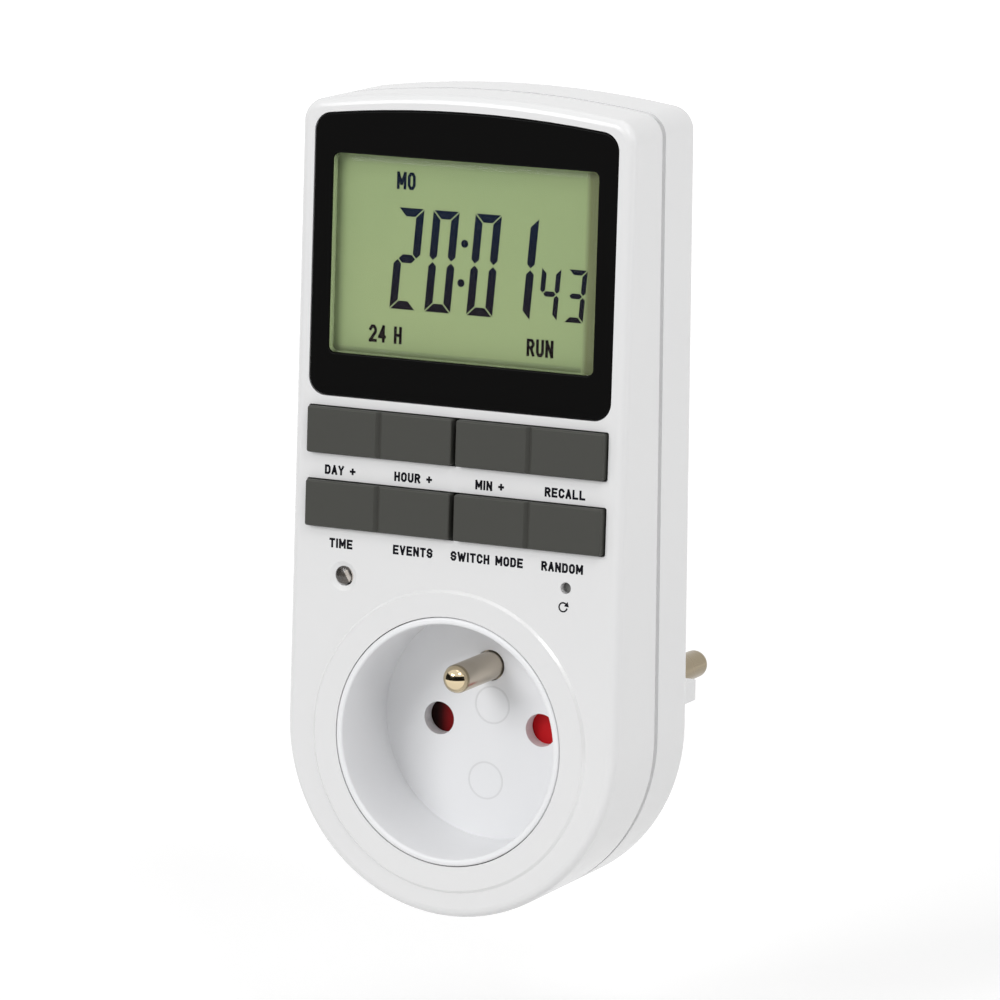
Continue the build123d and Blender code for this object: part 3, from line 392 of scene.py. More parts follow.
def add_box(shape, low, high):
    """Adds a box to the shape, from two corners in millimetres."""
    low, high = Vector(low) * MM, Vector(high) * MM
    size = high - low
    place = Matrix.Translation((low + high) / 2) @ Matrix.Diagonal((size.x, size.y, size.z, 1))
    bmesh.ops.create_cube(shape, size=1.0, matrix=place)


# Pieces


def new_object(name, data):
    """Adds an object to the scene."""
    made = bpy.data.objects.new(name, data)
    bpy.context.scene.collection.objects.link(made)
    return made


def clean(shape):
    """Merges the shape's doubles and turns its faces outwards."""
    nearest = 1e-8
    bmesh.ops.remove_doubles(shape, verts=shape.verts, dist=nearest)
    bmesh.ops.recalc_face_normals(shape, faces=shape.faces)


def place_piece(made, replaced=()):
    """Ties a finished piece to the housing, and hides the nodes it stands for."""
    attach(made, "housing")
    if replaced:
        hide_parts(*replaced)


def piece(name, shape, material, replaced=(), smooth_angle=None):
    """Makes a finished piece of the shape, at the origin."""
    clean(shape)
    mesh = bpy.data.meshes.new(name)
    shape.to_mesh(mesh)
    shape.free()
    mesh.materials.append(material)
    if smooth_angle:
        mesh.shade_smooth()
        mesh.set_sharp_from_angle(angle=smooth_angle)
    place_piece(new_object(name, mesh), replaced)


def turned_piece(name, profile, place, material, replaced=(), steps=64, smooth_angle=ROUND):
    """Makes a turned piece: pairs of radius and height in millimetres, spun about the place's Z axis."""
    shape = bmesh.new()
    rings = []
    for radius, height in profile:
        outline = circle(radius * MM, steps if radius else 1)
        rings.append([shape.verts.new(place @ Vector((x, y, height * MM))) for x, y in outline])
    for a, b in zip(rings, rings[1:]):
        for i in range(steps):
            corners = (a[i % len(a)], a[(i + 1) % len(a)], b[(i + 1) % len(b)], b[i % len(b)])
            shape.faces.new(list(dict.fromkeys(corners)))
    piece(name, shape, material, replaced, smooth_angle)


# Finishes


def feed(tree, node, values):
    """Sets a node's inputs, by name or number, or links them to the outputs given."""
    for key, value in values.items():
        if isinstance(value, bpy.types.NodeSocket):
            tree.links.new(value, node.inputs[key])
        else:
            node.inputs[key].default_value = value
    return node


def add_node(tree, kind, **values):
    """Adds a node to the tree and feeds its inputs by name."""
    named = {name.replace("_", " "): value for name, value in values.items()}
    return feed(tree, tree.nodes.new(kind), named)


def math_node(tree, operation, first, second):
    """Adds a calculation with two links or numbers and returns its output."""
    made = tree.nodes.new("ShaderNodeMath")
    made.operation = operation
    return feed(tree, made, {0: first, 1: second}).outputs[0]


def grain_group():
    """Shared group: soft patches of tint and roughness, and a fine grain as height."""
    name = "surface grain"
    if name in bpy.data.node_groups:
        return bpy.data.node_groups[name]
    tree = bpy.data.node_groups.new(name, "ShaderNodeTree")
    number, shade = "NodeSocketFloat", "NodeSocketColor"
    inputs = {"Vector": "NodeSocketVector", "Colour": shade, "Tint": shade, "Patch Scale": number,
              "Grain Scale": number, "Roughness": number, "Spread": number}
    outputs = {"Colour": shade, "Roughness": number, "Height": number}
    for side, sockets in (("INPUT", inputs), ("OUTPUT", outputs)):
        for label, kind in sockets.items():
            tree.interface.new_socket(label, in_out=side, socket_type=kind)
    given = tree.nodes.new("NodeGroupInput").outputs
    patch = add_node(tree, "ShaderNodeTexNoise", Vector=given["Vector"], Scale=given["Patch Scale"],
                     Detail=3.0, Roughness=0.55)
    grain = add_node(tree, "ShaderNodeTexNoise", Vector=given["Vector"], Scale=given["Grain Scale"],
                     Detail=2.0, Roughness=0.5)
    blend = tree.nodes.new("ShaderNodeMix")
    blend.data_type = "RGBA"
    share, first, second, mixed = 0, 6, 7, 2
    feed(tree, blend, {share: patch.outputs[0], first: given["Colour"], second: given["Tint"]})
    centred = math_node(tree, "SUBTRACT", patch.outputs[0], 0.5)
    swing = math_node(tree, "MULTIPLY", centred, given["Spread"])
    rough = math_node(tree, "ADD", swing, given["Roughness"])
    feed(tree, tree.nodes.new("NodeGroupOutput"),
         {"Colour": blend.outputs[mixed], "Roughness": rough, "Height": grain.outputs[0]})
    return tree


def shaded(base, share):
    """A share of a colour."""
    return [part * share for part in base]


def finish(name, base, tint=None, stretch=(1.0, 1.0, 1.0), grade=None):
    """A material: the shared grain on a colour; grade gives an axis, and the colours at places along it."""
    roughness, spread, patch, grain, bump, metallic, specular = TEXTURES[name]
    tint = tint or shaded(base, TINT_SHARE)
    made = bpy.data.materials.new(name)
    made.use_nodes = True
    tree = made.node_tree
    where = tree.nodes.new("ShaderNodeTexCoord").outputs["Object"]
    turn = add_node(tree, "ShaderNodeMapping", Vector=where, Scale=stretch)
    group = tree.nodes.new("ShaderNodeGroup")
    group.node_tree = grain_group()
    feed(tree, group, {"Vector": turn.outputs["Vector"], "Colour": (*base, 1.0), "Tint": (*tint, 1.0),
                       "Patch Scale": patch, "Grain Scale": grain, "Roughness": roughness, "Spread": spread})
    shown = graded(tree, where, *grade) if grade else group.outputs["Colour"]
    bumps = add_node(tree, "ShaderNodeBump", Strength=0.5, Distance=bump * MM, Height=group.outputs["Height"])
    feed(tree, tree.nodes["Principled BSDF"],
         {"Base Color": shown, "Roughness": group.outputs["Roughness"], "Normal": bumps.outputs["Normal"],
          "Metallic": metallic, "Specular IOR Level": specular})
    return made


def graded(tree, where, axis, stops):
    """Colour that turns from stop to stop along an axis; returns its output."""
    parts = add_node(tree, "ShaderNodeSeparateXYZ", Vector=where)
    first, last = stops[0][0], stops[-1][0]
    scale = add_node(tree, "ShaderNodeMapRange", Value=parts.outputs[axis], From_Min=first, From_Max=last)
    ramp = add_node(tree, "ShaderNodeValToRGB", Fac=scale.outputs[0])
    points = ramp.color_ramp.elements
    while len(points) < len(stops):
        points.new(0.5)
    for point, (spot, shade) in zip(points, stops):
        point.position = (spot - first) / (last - first)
        point.color = (*shade, 1.0)
    return ramp.outputs["Color"]


def clear(material, ior, share=1.0):
    """Makes a finish a clear one that lets the lamps' light through."""
    tree = material.node_tree
    shader = feed(tree, tree.nodes["Principled BSDF"], {"Transmission Weight": share, "IOR": ior})
    path = tree.nodes.new("ShaderNodeLightPath").outputs
    straight = math_node(tree, "MAXIMUM", path["Is Shadow Ray"], path["Is Diffuse Ray"])
    through = tree.nodes.new("ShaderNodeBsdfTransparent")
    both = tree.nodes.new("ShaderNodeMixShader")
    feed(tree, both, {0: straight, 1: shader.outputs[0], 2: through.outputs[0]})
    feed(tree, tree.nodes["Material Output"], {"Surface": both.outputs[0]})
    return material


def dress(material, *names):
    """Gives CAD nodes a finish."""
    for name in names:
        mesh = NODES[name].data
        mesh.materials.clear()
        mesh.materials.append(material)


# Screws by geometry nodes


def screw_tree():
    """Geometry nodes that stand a cross-head screw on every point."""
    tree = bpy.data.node_groups.new("cross head screws", "GeometryNodeTree")
    tree.is_modifier = True
    tree.interface.new_socket("Geometry", in_out="INPUT", socket_type="NodeSocketGeometry")
    for label in ("Head Radius", "Head Height", "Shank Radius", "Shank Length", "Thread Pitch"):
        tree.interface.new_socket(label, in_out="INPUT", socket_type="NodeSocketFloat").subtype = "DISTANCE"
    tree.interface.new_socket("Turn", in_out="INPUT", socket_type="NodeSocketVector").subtype = "EULER"
    tree.interface.new_socket("Material", in_out="INPUT", socket_type="NodeSocketMaterial")
    tree.interface.new_socket("Geometry", in_out="OUTPUT", socket_type="NodeSocketGeometry")
    given = tree.nodes.new("NodeGroupInput").outputs

    def node(kind, **values):
        return add_node(tree, kind, **values).outputs[0]

    def scaled(value, factor):
        return math_node(tree, "MULTIPLY", value, factor)

    def vector(x=0.0, y=0.0, z=0.0):
        return node("ShaderNodeCombineXYZ", X=x, Y=y, Z=z)

    def raised(geometry, z):
        return node("GeometryNodeTransform", Geometry=geometry, Translation=vector(z=z))

    # Shares of the head's and the shank's sizes
    slot_length, slot_width, slot_depth = 1.25, 0.3, 1.2
    core_share, ridge_share, thread_share = 0.8, 0.19, 0.86
    head_radius, head_height = given["Head Radius"], given["Head Height"]
    shank_radius, shank_length = given["Shank Radius"], given["Shank Length"]
    head = node("GeometryNodeMeshCylinder", Vertices=40, Radius=head_radius, Depth=head_height)
    long_side, short_side = scaled(head_radius, slot_length), scaled(head_radius, slot_width)
    deep = scaled(head_height, slot_depth)
    cut = tree.nodes.new("GeometryNodeMeshBoolean")
    cut.operation = "DIFFERENCE"
    cut.solver = "MANIFOLD"
    feed(tree, cut, {"Mesh 1": raised(head, scaled(head_height, 0.5))})
    for size in (vector(long_side, short_side, deep), vector(short_side, long_side, deep)):
        feed(tree, cut, {"Mesh 2": raised(node("GeometryNodeMeshCube", Size=size), head_height)})
    core_radius = scaled(shank_radius, core_share)
    core = node("GeometryNodeMeshCylinder", Vertices=24, Radius=core_radius, Depth=shank_length)
    thread_length = scaled(shank_length, thread_share)
    turns = math_node(tree, "DIVIDE", thread_length, given["Thread Pitch"])
    spiral = node("GeometryNodeCurveSpiral", Resolution=24, Rotations=turns, Start_Radius=core_radius,
                  End_Radius=core_radius, Height=thread_length)
    ridge_radius = scaled(shank_radius, ridge_share)
    profile = node("GeometryNodeCurvePrimitiveCircle", Resolution=3, Radius=ridge_radius)
    thread = node("GeometryNodeCurveToMesh", Curve=spiral, Profile_Curve=profile, Fill_Caps=True)
    joined = tree.nodes.new("GeometryNodeJoinGeometry")
    for part in (cut.outputs[0], raised(core, scaled(shank_length, -0.5)),
                 raised(thread, scaled(shank_length, -(1 + thread_share) / 2))):
        feed(tree, joined, {"Geometry": part})
    placed = node("GeometryNodeInstanceOnPoints", Points=given["Geometry"], Instance=joined.outputs[0],
                  Rotation=given["Turn"])
    real = node("GeometryNodeRealizeInstances", Geometry=placed)
    done = node("GeometryNodeSetMaterial", Geometry=real, Material=given["Material"])
    feed(tree, tree.nodes.new("NodeGroupOutput"), {"Geometry": done})
    return tree


def make_screws(tree, name, spots, turn, sizes, material, node):
    """Stands screws on the spots, as one plain mesh that takes the place of a CAD node."""
    mesh = bpy.data.meshes.new(name)
    mesh.from_pydata(spots, [], [])
    made = new_object(name, mesh)
    modifier = made.modifiers.new("screws", "NODES")
    modifier.node_group = tree
    values = dict(sizes, Turn=turn, Material=material)
    for item in tree.interface.items_tree:
        if item.in_out == "INPUT" and item.name in values:
            modifier[item.identifier] = values[item.name]
    seen = made.evaluated_get(bpy.context.evaluated_depsgraph_get())
    plain = bpy.data.meshes.new_from_object(seen)
    made.modifiers.clear()
    made.data = plain
    shape = bmesh.new()
    shape.from_mesh(plain)
    clean(shape)
    shape.to_mesh(plain)
    shape.free()
    place_piece(made, (node,))


# Operators


class TIMERSWITCH_OT_housing(bpy.types.Operator):
    """Give the shells and the recess their white plastic, and add the mould marks and the pad's edge"""

    bl_idname = "timer_switch.housing"
    bl_label = "Housing"

    def execute(self, context):
        sizes, colours = context.scene.timer_sizes, context.scene.timer_colours
        dress(finish("white plastic", colours.white, colours.white_tint), "front_housing", "rear_housing")
        dress(finish("white well plastic", colours.well, colours.well_tint), "socket_well")
        sunk, ring_steps, groove_shade_share = -0.01 * MM, 72, 0.89
        half = sizes.mark_line / 2
        ring = circle(sizes.mark_radius - half, ring_steps)
        shape = bmesh.new()
        for x, z in MARK_SPOTS:
            place = front_place(x * MM, WELL_BASE_Y, z * MM)
            stroke_path(shape, ring + ring[:1], half, place, sizes.mark_rise, sunk)
        # The marks' rings are painted darker than the recess, as painted shade in a groove
        line = finish("mould mark", shaded(colours.well, groove_shade_share))
        piece("mould_marks", shape, line)
        self.pad_edge(colours)
        return {"FINISHED"}

    def pad_edge(self, colours):
        """Adds the sloped edge of the round pad around the socket, which is smoother than the face and
        painted a little paler as a highlight.
        """
        painted_highlight_share = 1.06
        smooth = finish("pad edge plastic", shaded(colours.white, painted_highlight_share), colours.white)
        outer, height, foot = 25.2, 0.405, -0.05
        inner = outer - height
        profile = [(inner, foot), (outer, foot), (outer, 0), (inner, height), (inner, foot)]
        turned_piece("pad_edge", profile, face_place(0, 0), smooth, steps=180)


class TIMERSWITCH_OT_window(bpy.types.Operator):
    """Give the frame its gloss and the pane its clear plastic"""

    bl_idname = "timer_switch.window"
    bl_label = "Window"

    def execute(self, context):
        dress(finish("black gloss", context.scene.timer_colours.black), "window_bezel")
        pane = finish("clear pane", (0.97, 0.97, 0.97), (0.94, 0.95, 0.94))
        dress(clear(pane, ior=1.15), "window_lens")
        return {"FINISHED"}


class TIMERSWITCH_OT_display(bpy.types.Operator):
    """Light the figures and the words on the display, and add painted shade along the panel's edges"""

    bl_idname = "timer_switch.display"
    bl_label = "Display"

    def execute(self, context):
        sizes, colours = context.scene.timer_sizes, context.scene.timer_colours
        dress(finish("display ground", colours.olive, (0.35, 0.42, 0.205)), "lcd_panel")
        rubber = finish("striped rubber", (0.012, 0.012, 0.012), (0.16, 0.16, 0.15), stretch=(8.0, 0.2, 0.2))
        dress(rubber, "zebra_strip")
        dress(finish("natural plastic", (0.68, 0.65, 0.57)), "lcd_holder")
        panel_front, lift = 2.55 * MM, 0.008 * MM
        self.figures(sizes, colours, panel_front - lift)
        self.painted_shade_edges(panel_front - lift)
        return {"FINISHED"}

    def figures(self, sizes, colours, depth):
        """Adds the lit figures, dots and words, brown at their foot and blue above."""
        thin, small_raise = 0.03 * MM, 0.3 * MM
        big = (sizes.digit_width, sizes.digit_height, sizes.digit_stroke)
        small = (sizes.small_width, sizes.small_height, sizes.small_stroke)
        shape = bmesh.new()
        for row, form, rise in ((BIG_FIGURES, big, 0.0), (SMALL_FIGURES, small, small_raise)):
            for number, middle in row:
                place = face_place(middle * MM, sizes.digit_bottom + rise, depth)
                figure(shape, number, place, form, sizes, thin)
        for x, height in DOT_SPOTS:
            prism(shape, circle(sizes.dot_radius), face_place(x * MM, height * MM, depth), thin)
        for text, x, height in DISPLAY_WORDS:
            add_word(shape, text, face_place(x * MM, height * MM, depth), sizes.word_height,
                     sizes.word_width, sizes.word_stroke, thin)
        brown_level, blue_level = 64.0 * MM, 86.0 * MM
        stops = ((brown_level, colours.brown), (blue_level, colours.navy))
        piece("display_figures", shape, finish("lit bars", colours.brown, colours.navy, grade=("Z", stops)))

    def painted_shade_edges(self, depth):
        """Adds painted shade of the frame on the panel: a strip along its foot, which fills the ledge and
        darkens downwards, and a darker strip at the right.
        """
        # The display ground, and the painted shade of the frame: dark for the strip at the right, darkest at
        # the foot
        ground, dark, deepest_painted_shade = (0.317, 0.40, 0.198), (0.186, 0.212, 0.104), (0.143, 0.18, 0.089)
        film = 0.01 * MM
        low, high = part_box("lcd_panel")
        ledge_height, ledge_depth, overlap, deepest_shade_below = 2.4 * MM, 1.1 * MM, 0.7 * MM, 0.55 * MM
        foot = (low.z + FACE_OUT.z * (depth + 2 * ledge_depth)) / FACE_UP.z
        glass = foot + ledge_height
        top = glass + overlap
        outline = [(foot, -ledge_depth), (glass, -ledge_depth), (glass, 0), (top, 0), (top, film),
                   (foot, film)]
        along = Matrix((FACE_UP, FACE_OUT, (1, 0, 0))).transposed().to_4x4()
        place = Matrix.Translation(face_place(low.x, 0, depth).translation) @ along
        shape = bmesh.new()
        prism(shape, outline, place, high.x - low.x)
        stops = [(face_place(0, height, depth).translation.z, shade)
                 for height, shade in ((glass - deepest_shade_below, deepest_painted_shade), (top, ground))]
        piece("display_foot_painted_shade", shape, finish("display foot painted shade", ground, grade=("Z", stops)))

        # A strip of painted shade of the frame along the panel's right edge
        pane_margin, reach, soft, painted_shade_top = 1.0 * MM, 3.2 * MM, 0.9 * MM, 96.6 * MM
        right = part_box("window_lens")[1].x
        left = right - pane_margin - reach
        outline = [(left, foot), (right, foot), (right, painted_shade_top), (left, painted_shade_top)]
        shape = bmesh.new()
        prism(shape, outline, face_place(0, 0, depth), film, 1.2 * film)
        stops = ((left, ground), (left + soft, dark))
        piece("display_painted_shade_strip", shape, finish("display painted shade strip", ground, grade=("X", stops)))


class TIMERSWITCH_OT_keys(bpy.types.Operator):
    """Give the keys their grey plastic and print the words under them"""

    bl_idname = "timer_switch.keys"
    bl_label = "Keys and legends"

    def execute(self, context):
        sizes, colours = context.scene.timer_sizes, context.scene.timer_colours
        keys = [f"key_rocker_{row}_{side}" for row in ("upper", "lower") for side in ("left", "right")]
        dress(finish("key plastic", colours.grey), *keys)
        dress(finish("reset pin plastic", (0.16, 0.16, 0.155)), "reset_button")
        lift = 0.002 * MM
        shape = bmesh.new()
        for text, x, height in LEGENDS:
            add_word(shape, text, face_place(x * MM, height * MM, -lift), sizes.legend_height,
                     sizes.legend_width, sizes.legend_stroke, sizes.ink_thickness)
        x, height = RESET_MARK_SPOT
        self.reset_mark(shape, face_place(x * MM, height * MM, -lift), sizes.ink_thickness)
        piece("printed_legends", shape, finish("printed ink", colours.ink))
        return {"FINISHED"}

    def reset_mark(self, shape, place, thickness):
        """Adds an open ring with an arrow head."""
        outer, inner, head, head_length = 0.85 * MM, 0.6 * MM, 0.5 * MM, 0.75 * MM
        start, stop, steps = 50, 340, 30
        ring = (outer + inner) / 2
        turns = [math.radians(start + (stop - start) * i / steps) for i in range(steps + 1)]
        arc = [(ring * math.cos(t), ring * math.sin(t)) for t in turns]
        stroke_path(shape, arc, (outer - inner) / 2, place, thickness)
        across = Vector((math.cos(turns[0]), math.sin(turns[0])))
        along = Vector((math.sin(turns[0]), -math.cos(turns[0])))
        root = across * ring
        corners = (root - across * head, root + along * head_length, root + across * head)
        prism(shape, [tuple(corner) for corner in corners], place, thickness)


class TIMERSWITCH_OT_lamp(bpy.types.Operator):
    """Give the lamp its smoky lens, the leads inside it, and a dark cup inside it as painted shade"""

    bl_idname = "timer_switch.lamp"
    bl_label = "Lamp"

    def execute(self, context):
        x, height = LAMP_SPOT
        place = face_place(x * MM, height * MM)
        lens = clear(finish("smoky lens", context.scene.timer_colours.smoky), ior=1.5, share=0.965)
        radius, flange, back, seat, proud, ball = 1.5, 1.9, -6.1, -5.1, 0.3, 2.6
        profile = [(0, back), (flange, back), (flange, seat), (radius, seat)]
        profile += cap(radius, proud, ball, steps=14)
        turned_piece("lamp_lens", profile, place, lens, ("status_led",))

        # A slanted strip under the lens, and the two legs behind it
        slant, shift = math.radians(31), Vector((0.1, -0.05, 0)) * MM
        leg, leg_back, leg_front = 0.5, -9.0, -5.6
        shape = bmesh.new()
        add_box(shape, (-0.25, -1.1, -1.75), (0.25, 0.6, -1.5))
        shape.transform(Matrix.Translation(shift) @ Matrix.Rotation(slant, 4, "Z"))
        for side in (-1.52, 1.02):
            add_box(shape, (side, -leg / 2, leg_back), (side + leg, leg / 2, leg_front))
        shape.transform(place)
        piece("lamp_leads", shape, finish("lamp lead", (0.66, 0.62, 0.58)))

        # A dark cup inside the lens: painted shade for the lamp's dim inside
        outer, inner, rim, floor, under = 1.46, 1.36, -1.15, -2.1, -2.3
        profile = [(0, under), (outer, under), (outer, rim), (inner, rim), (inner, floor), (0, floor)]
        turned_piece("lamp_cup_painted_shade", profile, place, finish("lamp cup painted shade", (0.085, 0.072, 0.062)), steps=40)
        return {"FINISHED"}


class TIMERSWITCH_OT_socket(bpy.types.Operator):
    """Turn the earth pin, and give the shutter and the contacts their finishes; the shutter's finish holds
    painted shade at its left end and painted light towards its right
    """

    bl_idname = "timer_switch.socket"
    bl_label = "Socket"

    def execute(self, context):
        colours = context.scene.timer_colours
        self.earth_pin(colours)
        # Painted light and shade on the shutter: nearly black at its left end as a painted shadow of the
        # hole's rim, brighter than its red towards the right end
        painted_light_and_shade = ((-11.3, 0.025), (-10.5, 0.09), (-9.0, 0.55), (5.5, 1.0), (7.0, 1.55))
        stops = [(x * MM, shaded(colours.red, share)) for x, share in painted_light_and_shade]
        dress(finish("shutter plastic painted light and shade", colours.red, grade=("X", stops)), "shutter")
        dress(finish("retainer plastic", (0.66, 0.63, 0.56)), "shutter_retainer")
        brass = finish("contact brass", colours.brass, stretch=(1.0, 0.2, 1.0))
        dress(brass, "live_contact", "neutral_contact", "earth_contact", "live_strap")
        dress(finish("spring steel", colours.steel), "shutter_spring")
        return {"FINISHED"}

    def earth_pin(self, colours):
        """Turns the earth pin with its flange and sunk shank, its round end and the ring at its root."""
        low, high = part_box("earth_pin")
        place = front_place((low.x + high.x) / 2, WELL_BASE_Y, (low.z + high.z) / 2)
        radius, shank, flange = 2.4, 2.8, (high.x - low.x) / 2 / MM
        back, flange_back, flange_front, sunk, tip = -9.0, -3.6, -2.5, -0.9, EARTH_LENGTH / MM
        dome_radius, dome_height, shoulder = 2.25, 1.55, 0.45
        seat = tip - dome_height
        groove = seat - shoulder

        edge, turn, worn = low.y + (dome_height + shoulder) * MM, 0.1 * MM, 0.5
        stops = ((edge, shaded(colours.gold, worn)), (edge + turn, colours.nickel))
        side = finish("earth pin nickel", colours.nickel, stretch=DRAWN_GRAIN, grade=("Y", stops))
        profile = [(0, back), (shank, back), (shank, flange_back), (flange, flange_back),
                   (flange, flange_front), (shank, flange_front), (shank, sunk), (radius, sunk),
                   (radius, groove), (dome_radius, seat), (0, seat)]
        turned_piece("turned_earth_pin", profile, place, side, ("earth_pin",))

        ball = (dome_radius ** 2 + dome_height ** 2) / (2 * dome_height)
        profile = [(0, groove), (dome_radius - shoulder, groove)] + cap(dome_radius, tip, ball, steps=20)
        turned_piece("earth_pin_tip", profile, place, finish("earth pin tip", colours.gold),
                     smooth_angle=math.radians(40))

        inner, outer, flush = 2.62, 2.84, -0.01
        profile = [(inner, sunk), (outer, sunk), (outer, flush), (inner, flush), (inner, sunk)]
        white = bpy.data.materials["white well plastic"]
        turned_piece("earth_pin_collar", profile, place, white)


class TIMERSWITCH_OT_plug(bpy.types.Operator):
    """Give the plug pins their turned nickel"""

    bl_idname = "timer_switch.plug"
    bl_label = "Plug pins"

    def execute(self, context):
        nickel = finish("plug pin nickel", context.scene.timer_colours.plug_nickel, stretch=DRAWN_GRAIN)
        dress(nickel, "live_pin", "neutral_pin")
        return {"FINISHED"}


class TIMERSWITCH_OT_screws(bpy.types.Operator):
    """Stand the detailed screws in place of the plain ones"""

    bl_idname = "timer_switch.screws"
    bl_label = "Screws"

    def execute(self, context):
        pitch = context.scene.timer_sizes.thread_pitch
        steel = finish("screw steel", context.scene.timer_colours.steel)
        tree = screw_tree()

        def screws(node, spots, turn, head_radius, head_height, shank_radius, shank_length):
            form = {"Head Radius": head_radius * MM, "Head Height": head_height * MM,
                    "Shank Radius": shank_radius * MM, "Shank Length": shank_length * MM,
                    "Thread Pitch": pitch}
            make_screws(tree, f"detailed_{node}", spots, turn, form, steel, node)

        low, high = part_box("housing_screws")
        head = 1.6
        seat = high.y - head * MM
        spots = [(x * MM, seat, z * MM) for x, z in HOUSING_SCREW_SPOTS]
        screws("housing_screws", spots, (-math.pi / 2, 0, 0), head_radius=2.1, head_height=head,
               shank_radius=1.25, shank_length=(seat - low.y) / MM)

        board_depth = 10.6 * MM
        spots = [tuple(face_place(x * MM, height * MM, board_depth).translation)
                 for x, height in CONTROL_SCREW_SPOTS]
        inward = Vector((0, 0, 1)).rotation_difference(-FACE_OUT).to_euler()
        screws("control_board_screws", spots, tuple(inward), head_radius=1.6, head_height=0.9,
               shank_radius=0.85, shank_length=4.5)

        head = 1.1
        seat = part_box("power_board_screws")[0].y + head * MM
        spots = [(x * MM, seat, z * MM) for x, z in POWER_SCREW_SPOTS]
        screws("power_board_screws", spots, (math.pi / 2, 0, 0), head_radius=2.0, head_height=head,
               shank_radius=1.05, shank_length=3.2)
        return {"FINISHED"}


class TIMERSWITCH_OT_electronics(bpy.types.Operator):
    """Give the boards and the pieces on them their finishes"""

    bl_idname = "timer_switch.electronics"
    bl_label = "Electronics"

    def execute(self, context):
        # Finish, colour, tint, nodes
        table = (
            ("green board", (0.02, 0.16, 0.05), (0.012, 0.10, 0.035), ("control_board",)),
            ("brown board", (0.32, 0.19, 0.08), (0.26, 0.15, 0.06), ("power_board",)),
            ("black component", (0.018, 0.018, 0.018), (0.03, 0.03, 0.03),
             ("controller_chip", "relay", "board_header", "rectifier_diodes", "smoothing_capacitor",
              "key_switches", "reset_switch")),
            ("yellow component", (0.62, 0.40, 0.06), (0.55, 0.34, 0.05), ("film_capacitor",)),
            ("blue component", (0.04, 0.13, 0.42), (0.03, 0.10, 0.35), ("surge_varistor", "fuse_resistor")),
            ("component steel", context.scene.timer_colours.steel, None, ("clock_crystal", "backup_battery")),
        )
        for name, base, tint, nodes in table:
            dress(finish(name, base, tint), *nodes)
        return {"FINISHED"}


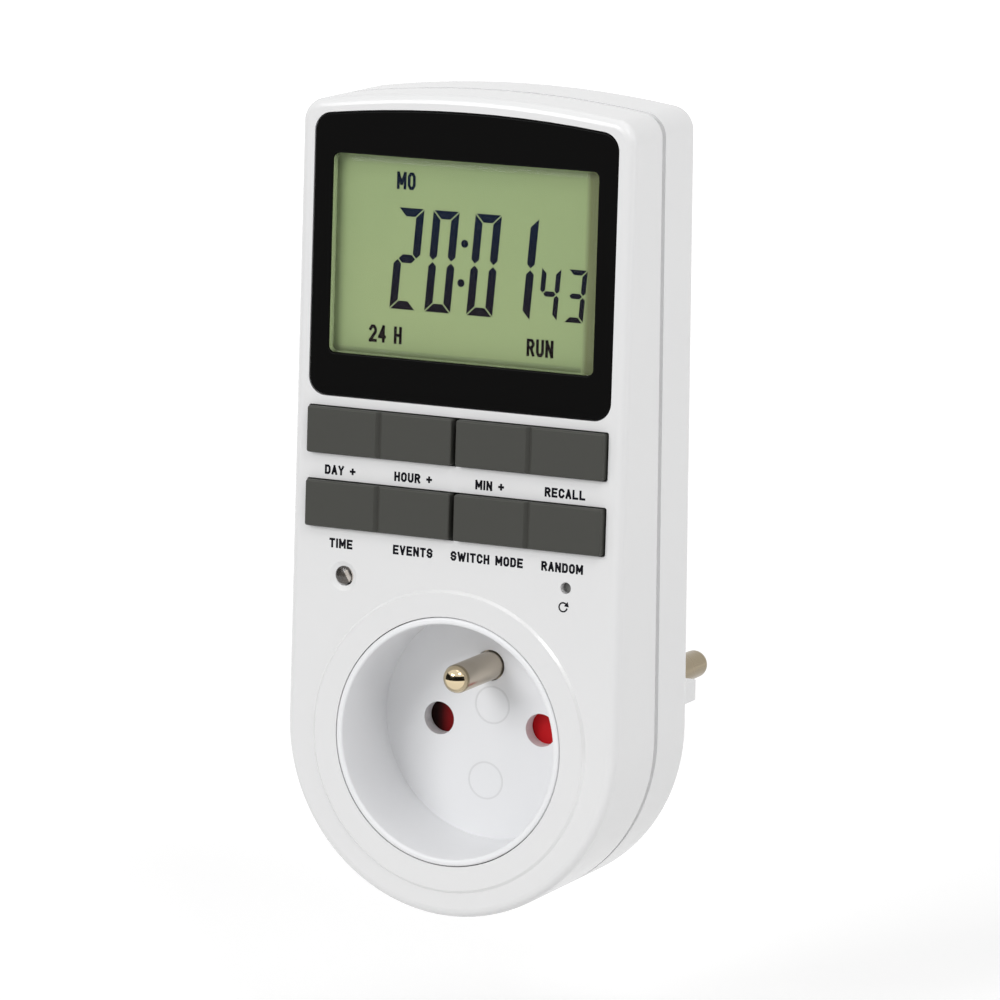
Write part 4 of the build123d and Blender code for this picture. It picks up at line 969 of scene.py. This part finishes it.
class TIMERSWITCH_OT_stage(bpy.types.Operator):
    """Set the pale floor, the studio light and the camera"""

    bl_idname = "timer_switch.stage"
    bl_label = "Stage"

    def execute(self, context):
        self.world(context.scene)
        self.floor()
        for name, spot, size, power in STUDIO_LAMPS:
            self.lamp(name, Vector(spot), size, power)
        self.card()
        self.camera(context.scene)
        return {"FINISHED"}

    def seen_directly(self, tree):
        """One for rays from the camera, mirrors and clear pieces, else zero; returns the output."""
        path = tree.nodes.new("ShaderNodeLightPath").outputs
        first = math_node(tree, "MAXIMUM", path["Is Camera Ray"], path["Is Glossy Ray"])
        return math_node(tree, "MAXIMUM", first, path["Is Transmission Ray"])

    def world(self, scene):
        """White where it is seen, and a weaker light on the object."""
        world = bpy.data.worlds.new("studio")
        scene.world = world
        world.use_nodes = True
        tree = world.node_tree
        ambient = 0.38
        extra = math_node(tree, "MULTIPLY", self.seen_directly(tree), 1.0 - ambient)
        strength = math_node(tree, "ADD", extra, ambient)
        feed(tree, tree.nodes["Background"], {"Color": (1, 1, 1, 1), "Strength": strength})

    def floor(self):
        """A pale floor below the object, which shows white and keeps the shadow."""
        half, near, far, dim, bright = 4.0, 0.15, 1.2, 0.35, 0.78
        corners = [(x * half, y * half, FLOOR_Z) for x, y in ((-1, -1), (1, -1), (1, 1), (-1, 1))]
        mesh = bpy.data.meshes.new("floor")
        mesh.from_pydata(corners, [], [(0, 1, 2, 3)])
        material = bpy.data.materials.new("pale floor")
        material.use_nodes = True
        tree = material.node_tree
        where = tree.nodes.new("ShaderNodeTexCoord")
        away = tree.nodes.new("ShaderNodeVectorMath")
        away.operation = "LENGTH"
        feed(tree, away, {0: where.outputs["Object"]})
        rise = add_node(tree, "ShaderNodeMapRange", Value=away.outputs["Value"], From_Min=near, From_Max=far,
                        To_Min=dim, To_Max=bright)
        glow = math_node(tree, "MULTIPLY", self.seen_directly(tree), rise.outputs[0])
        feed(tree, tree.nodes["Principled BSDF"],
             {"Base Color": (0.82, 0.82, 0.82, 1), "Roughness": 0.9, "Specular IOR Level": 0.0,
              "Emission Color": (1, 1, 1, 1), "Emission Strength": glow})
        mesh.materials.append(material)
        new_object("floor", mesh)

    def card(self):
        """A dark round card, before the object, that only shows in polished metal."""
        radius, low, high, steps = 0.45, FLOOR_Z + 1.0 * MM, 0.21, 24
        start, sweep = -170, 160
        turns = [math.radians(start + sweep * i / steps) for i in range(steps + 1)]
        foot = [(radius * math.cos(t), radius * math.sin(t)) for t in turns]
        corners = [(x, y, level) for level in (low, high) for x, y in foot]
        mesh = bpy.data.meshes.new("dark card")
        mesh.from_pydata(corners, [], [(i + 1, i, i + steps + 1, i + steps + 2) for i in range(steps)])
        mesh.materials.append(finish("card cloth", (0.02, 0.02, 0.02)))
        card = new_object("dark_card", mesh)
        for ray in ("camera", "diffuse", "shadow", "transmission"):
            setattr(card, f"visible_{ray}", False)

    def lamp(self, name, spot, size, power):
        """A square studio lamp that points at the object's middle."""
        light = bpy.data.lights.new(name, "AREA")
        light.shape = "SQUARE"
        light.size = size
        light.energy = power
        made = new_object(name, light)
        made.location = spot
        aim = (CAD_LOW + CAD_HIGH) / 2 - spot
        made.rotation_euler = aim.to_track_quat("-Z", "Y").to_euler()

    def camera(self, scene):
        """The camera, above the object and to its right."""
        eye = (0.4479, -0.9129, 0.2245)
        yaw, pitch, roll = math.radians(27.12), math.radians(10.78), math.radians(0.51)
        back = Vector((math.sin(yaw) * math.cos(pitch), -math.cos(yaw) * math.cos(pitch), math.sin(pitch)))
        right = Vector((math.cos(yaw), math.sin(yaw), 0))
        up = back.cross(right)
        turned_right = right * math.cos(roll) + up * math.sin(roll)
        turned_up = up * math.cos(roll) - right * math.sin(roll)
        lens = bpy.data.cameras.new("camera")
        lens.lens = 217.5
        lens.sensor_width = 36.0
        lens.clip_start = 0.05
        lens.clip_end = 20.0
        made = new_object("camera", lens)
        columns = Matrix((turned_right, turned_up, back)).transposed().to_4x4()
        made.matrix_world = Matrix.Translation(eye) @ columns
        scene.camera = made
        scene.view_settings.view_transform = "Standard"


OPERATORS = (
    TIMERSWITCH_OT_housing,
    TIMERSWITCH_OT_window,
    TIMERSWITCH_OT_display,
    TIMERSWITCH_OT_keys,
    TIMERSWITCH_OT_lamp,
    TIMERSWITCH_OT_socket,
    TIMERSWITCH_OT_plug,
    TIMERSWITCH_OT_screws,
    TIMERSWITCH_OT_electronics,
    TIMERSWITCH_OT_stage,
)


class TIMERSWITCH_PT_panel(bpy.types.Panel):
    """Sidebar panel with the sizes, the colours and the steps"""

    bl_idname = "TIMERSWITCH_PT_panel"
    bl_label = "Timer switch"
    bl_space_type = "VIEW_3D"
    bl_region_type = "UI"
    bl_category = "Timer switch"

    def draw(self, context):
        for title, group in (("Sizes", context.scene.timer_sizes), ("Colours", context.scene.timer_colours)):
            box = self.layout.box()
            box.label(text=title)
            for name in group.__annotations__:
                box.prop(group, name)
        for step in OPERATORS:
            self.layout.operator(step.bl_idname)


CLASSES = (TimerSwitchSizes, TimerSwitchColours, *OPERATORS, TIMERSWITCH_PT_panel)


def register():
    for made in CLASSES:
        bpy.utils.register_class(made)
    bpy.types.Scene.timer_sizes = bpy.props.PointerProperty(type=TimerSwitchSizes)
    bpy.types.Scene.timer_colours = bpy.props.PointerProperty(type=TimerSwitchColours)


def unregister():
    del bpy.types.Scene.timer_colours
    del bpy.types.Scene.timer_sizes
    for made in reversed(CLASSES):
        bpy.utils.unregister_class(made)


def main():
    """Registers the add-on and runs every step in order."""
    register()
    for step in OPERATORS:
        group, name = step.bl_idname.split(".")
        getattr(getattr(bpy.ops, group), name)()


if __name__ == "__main__":
    main()
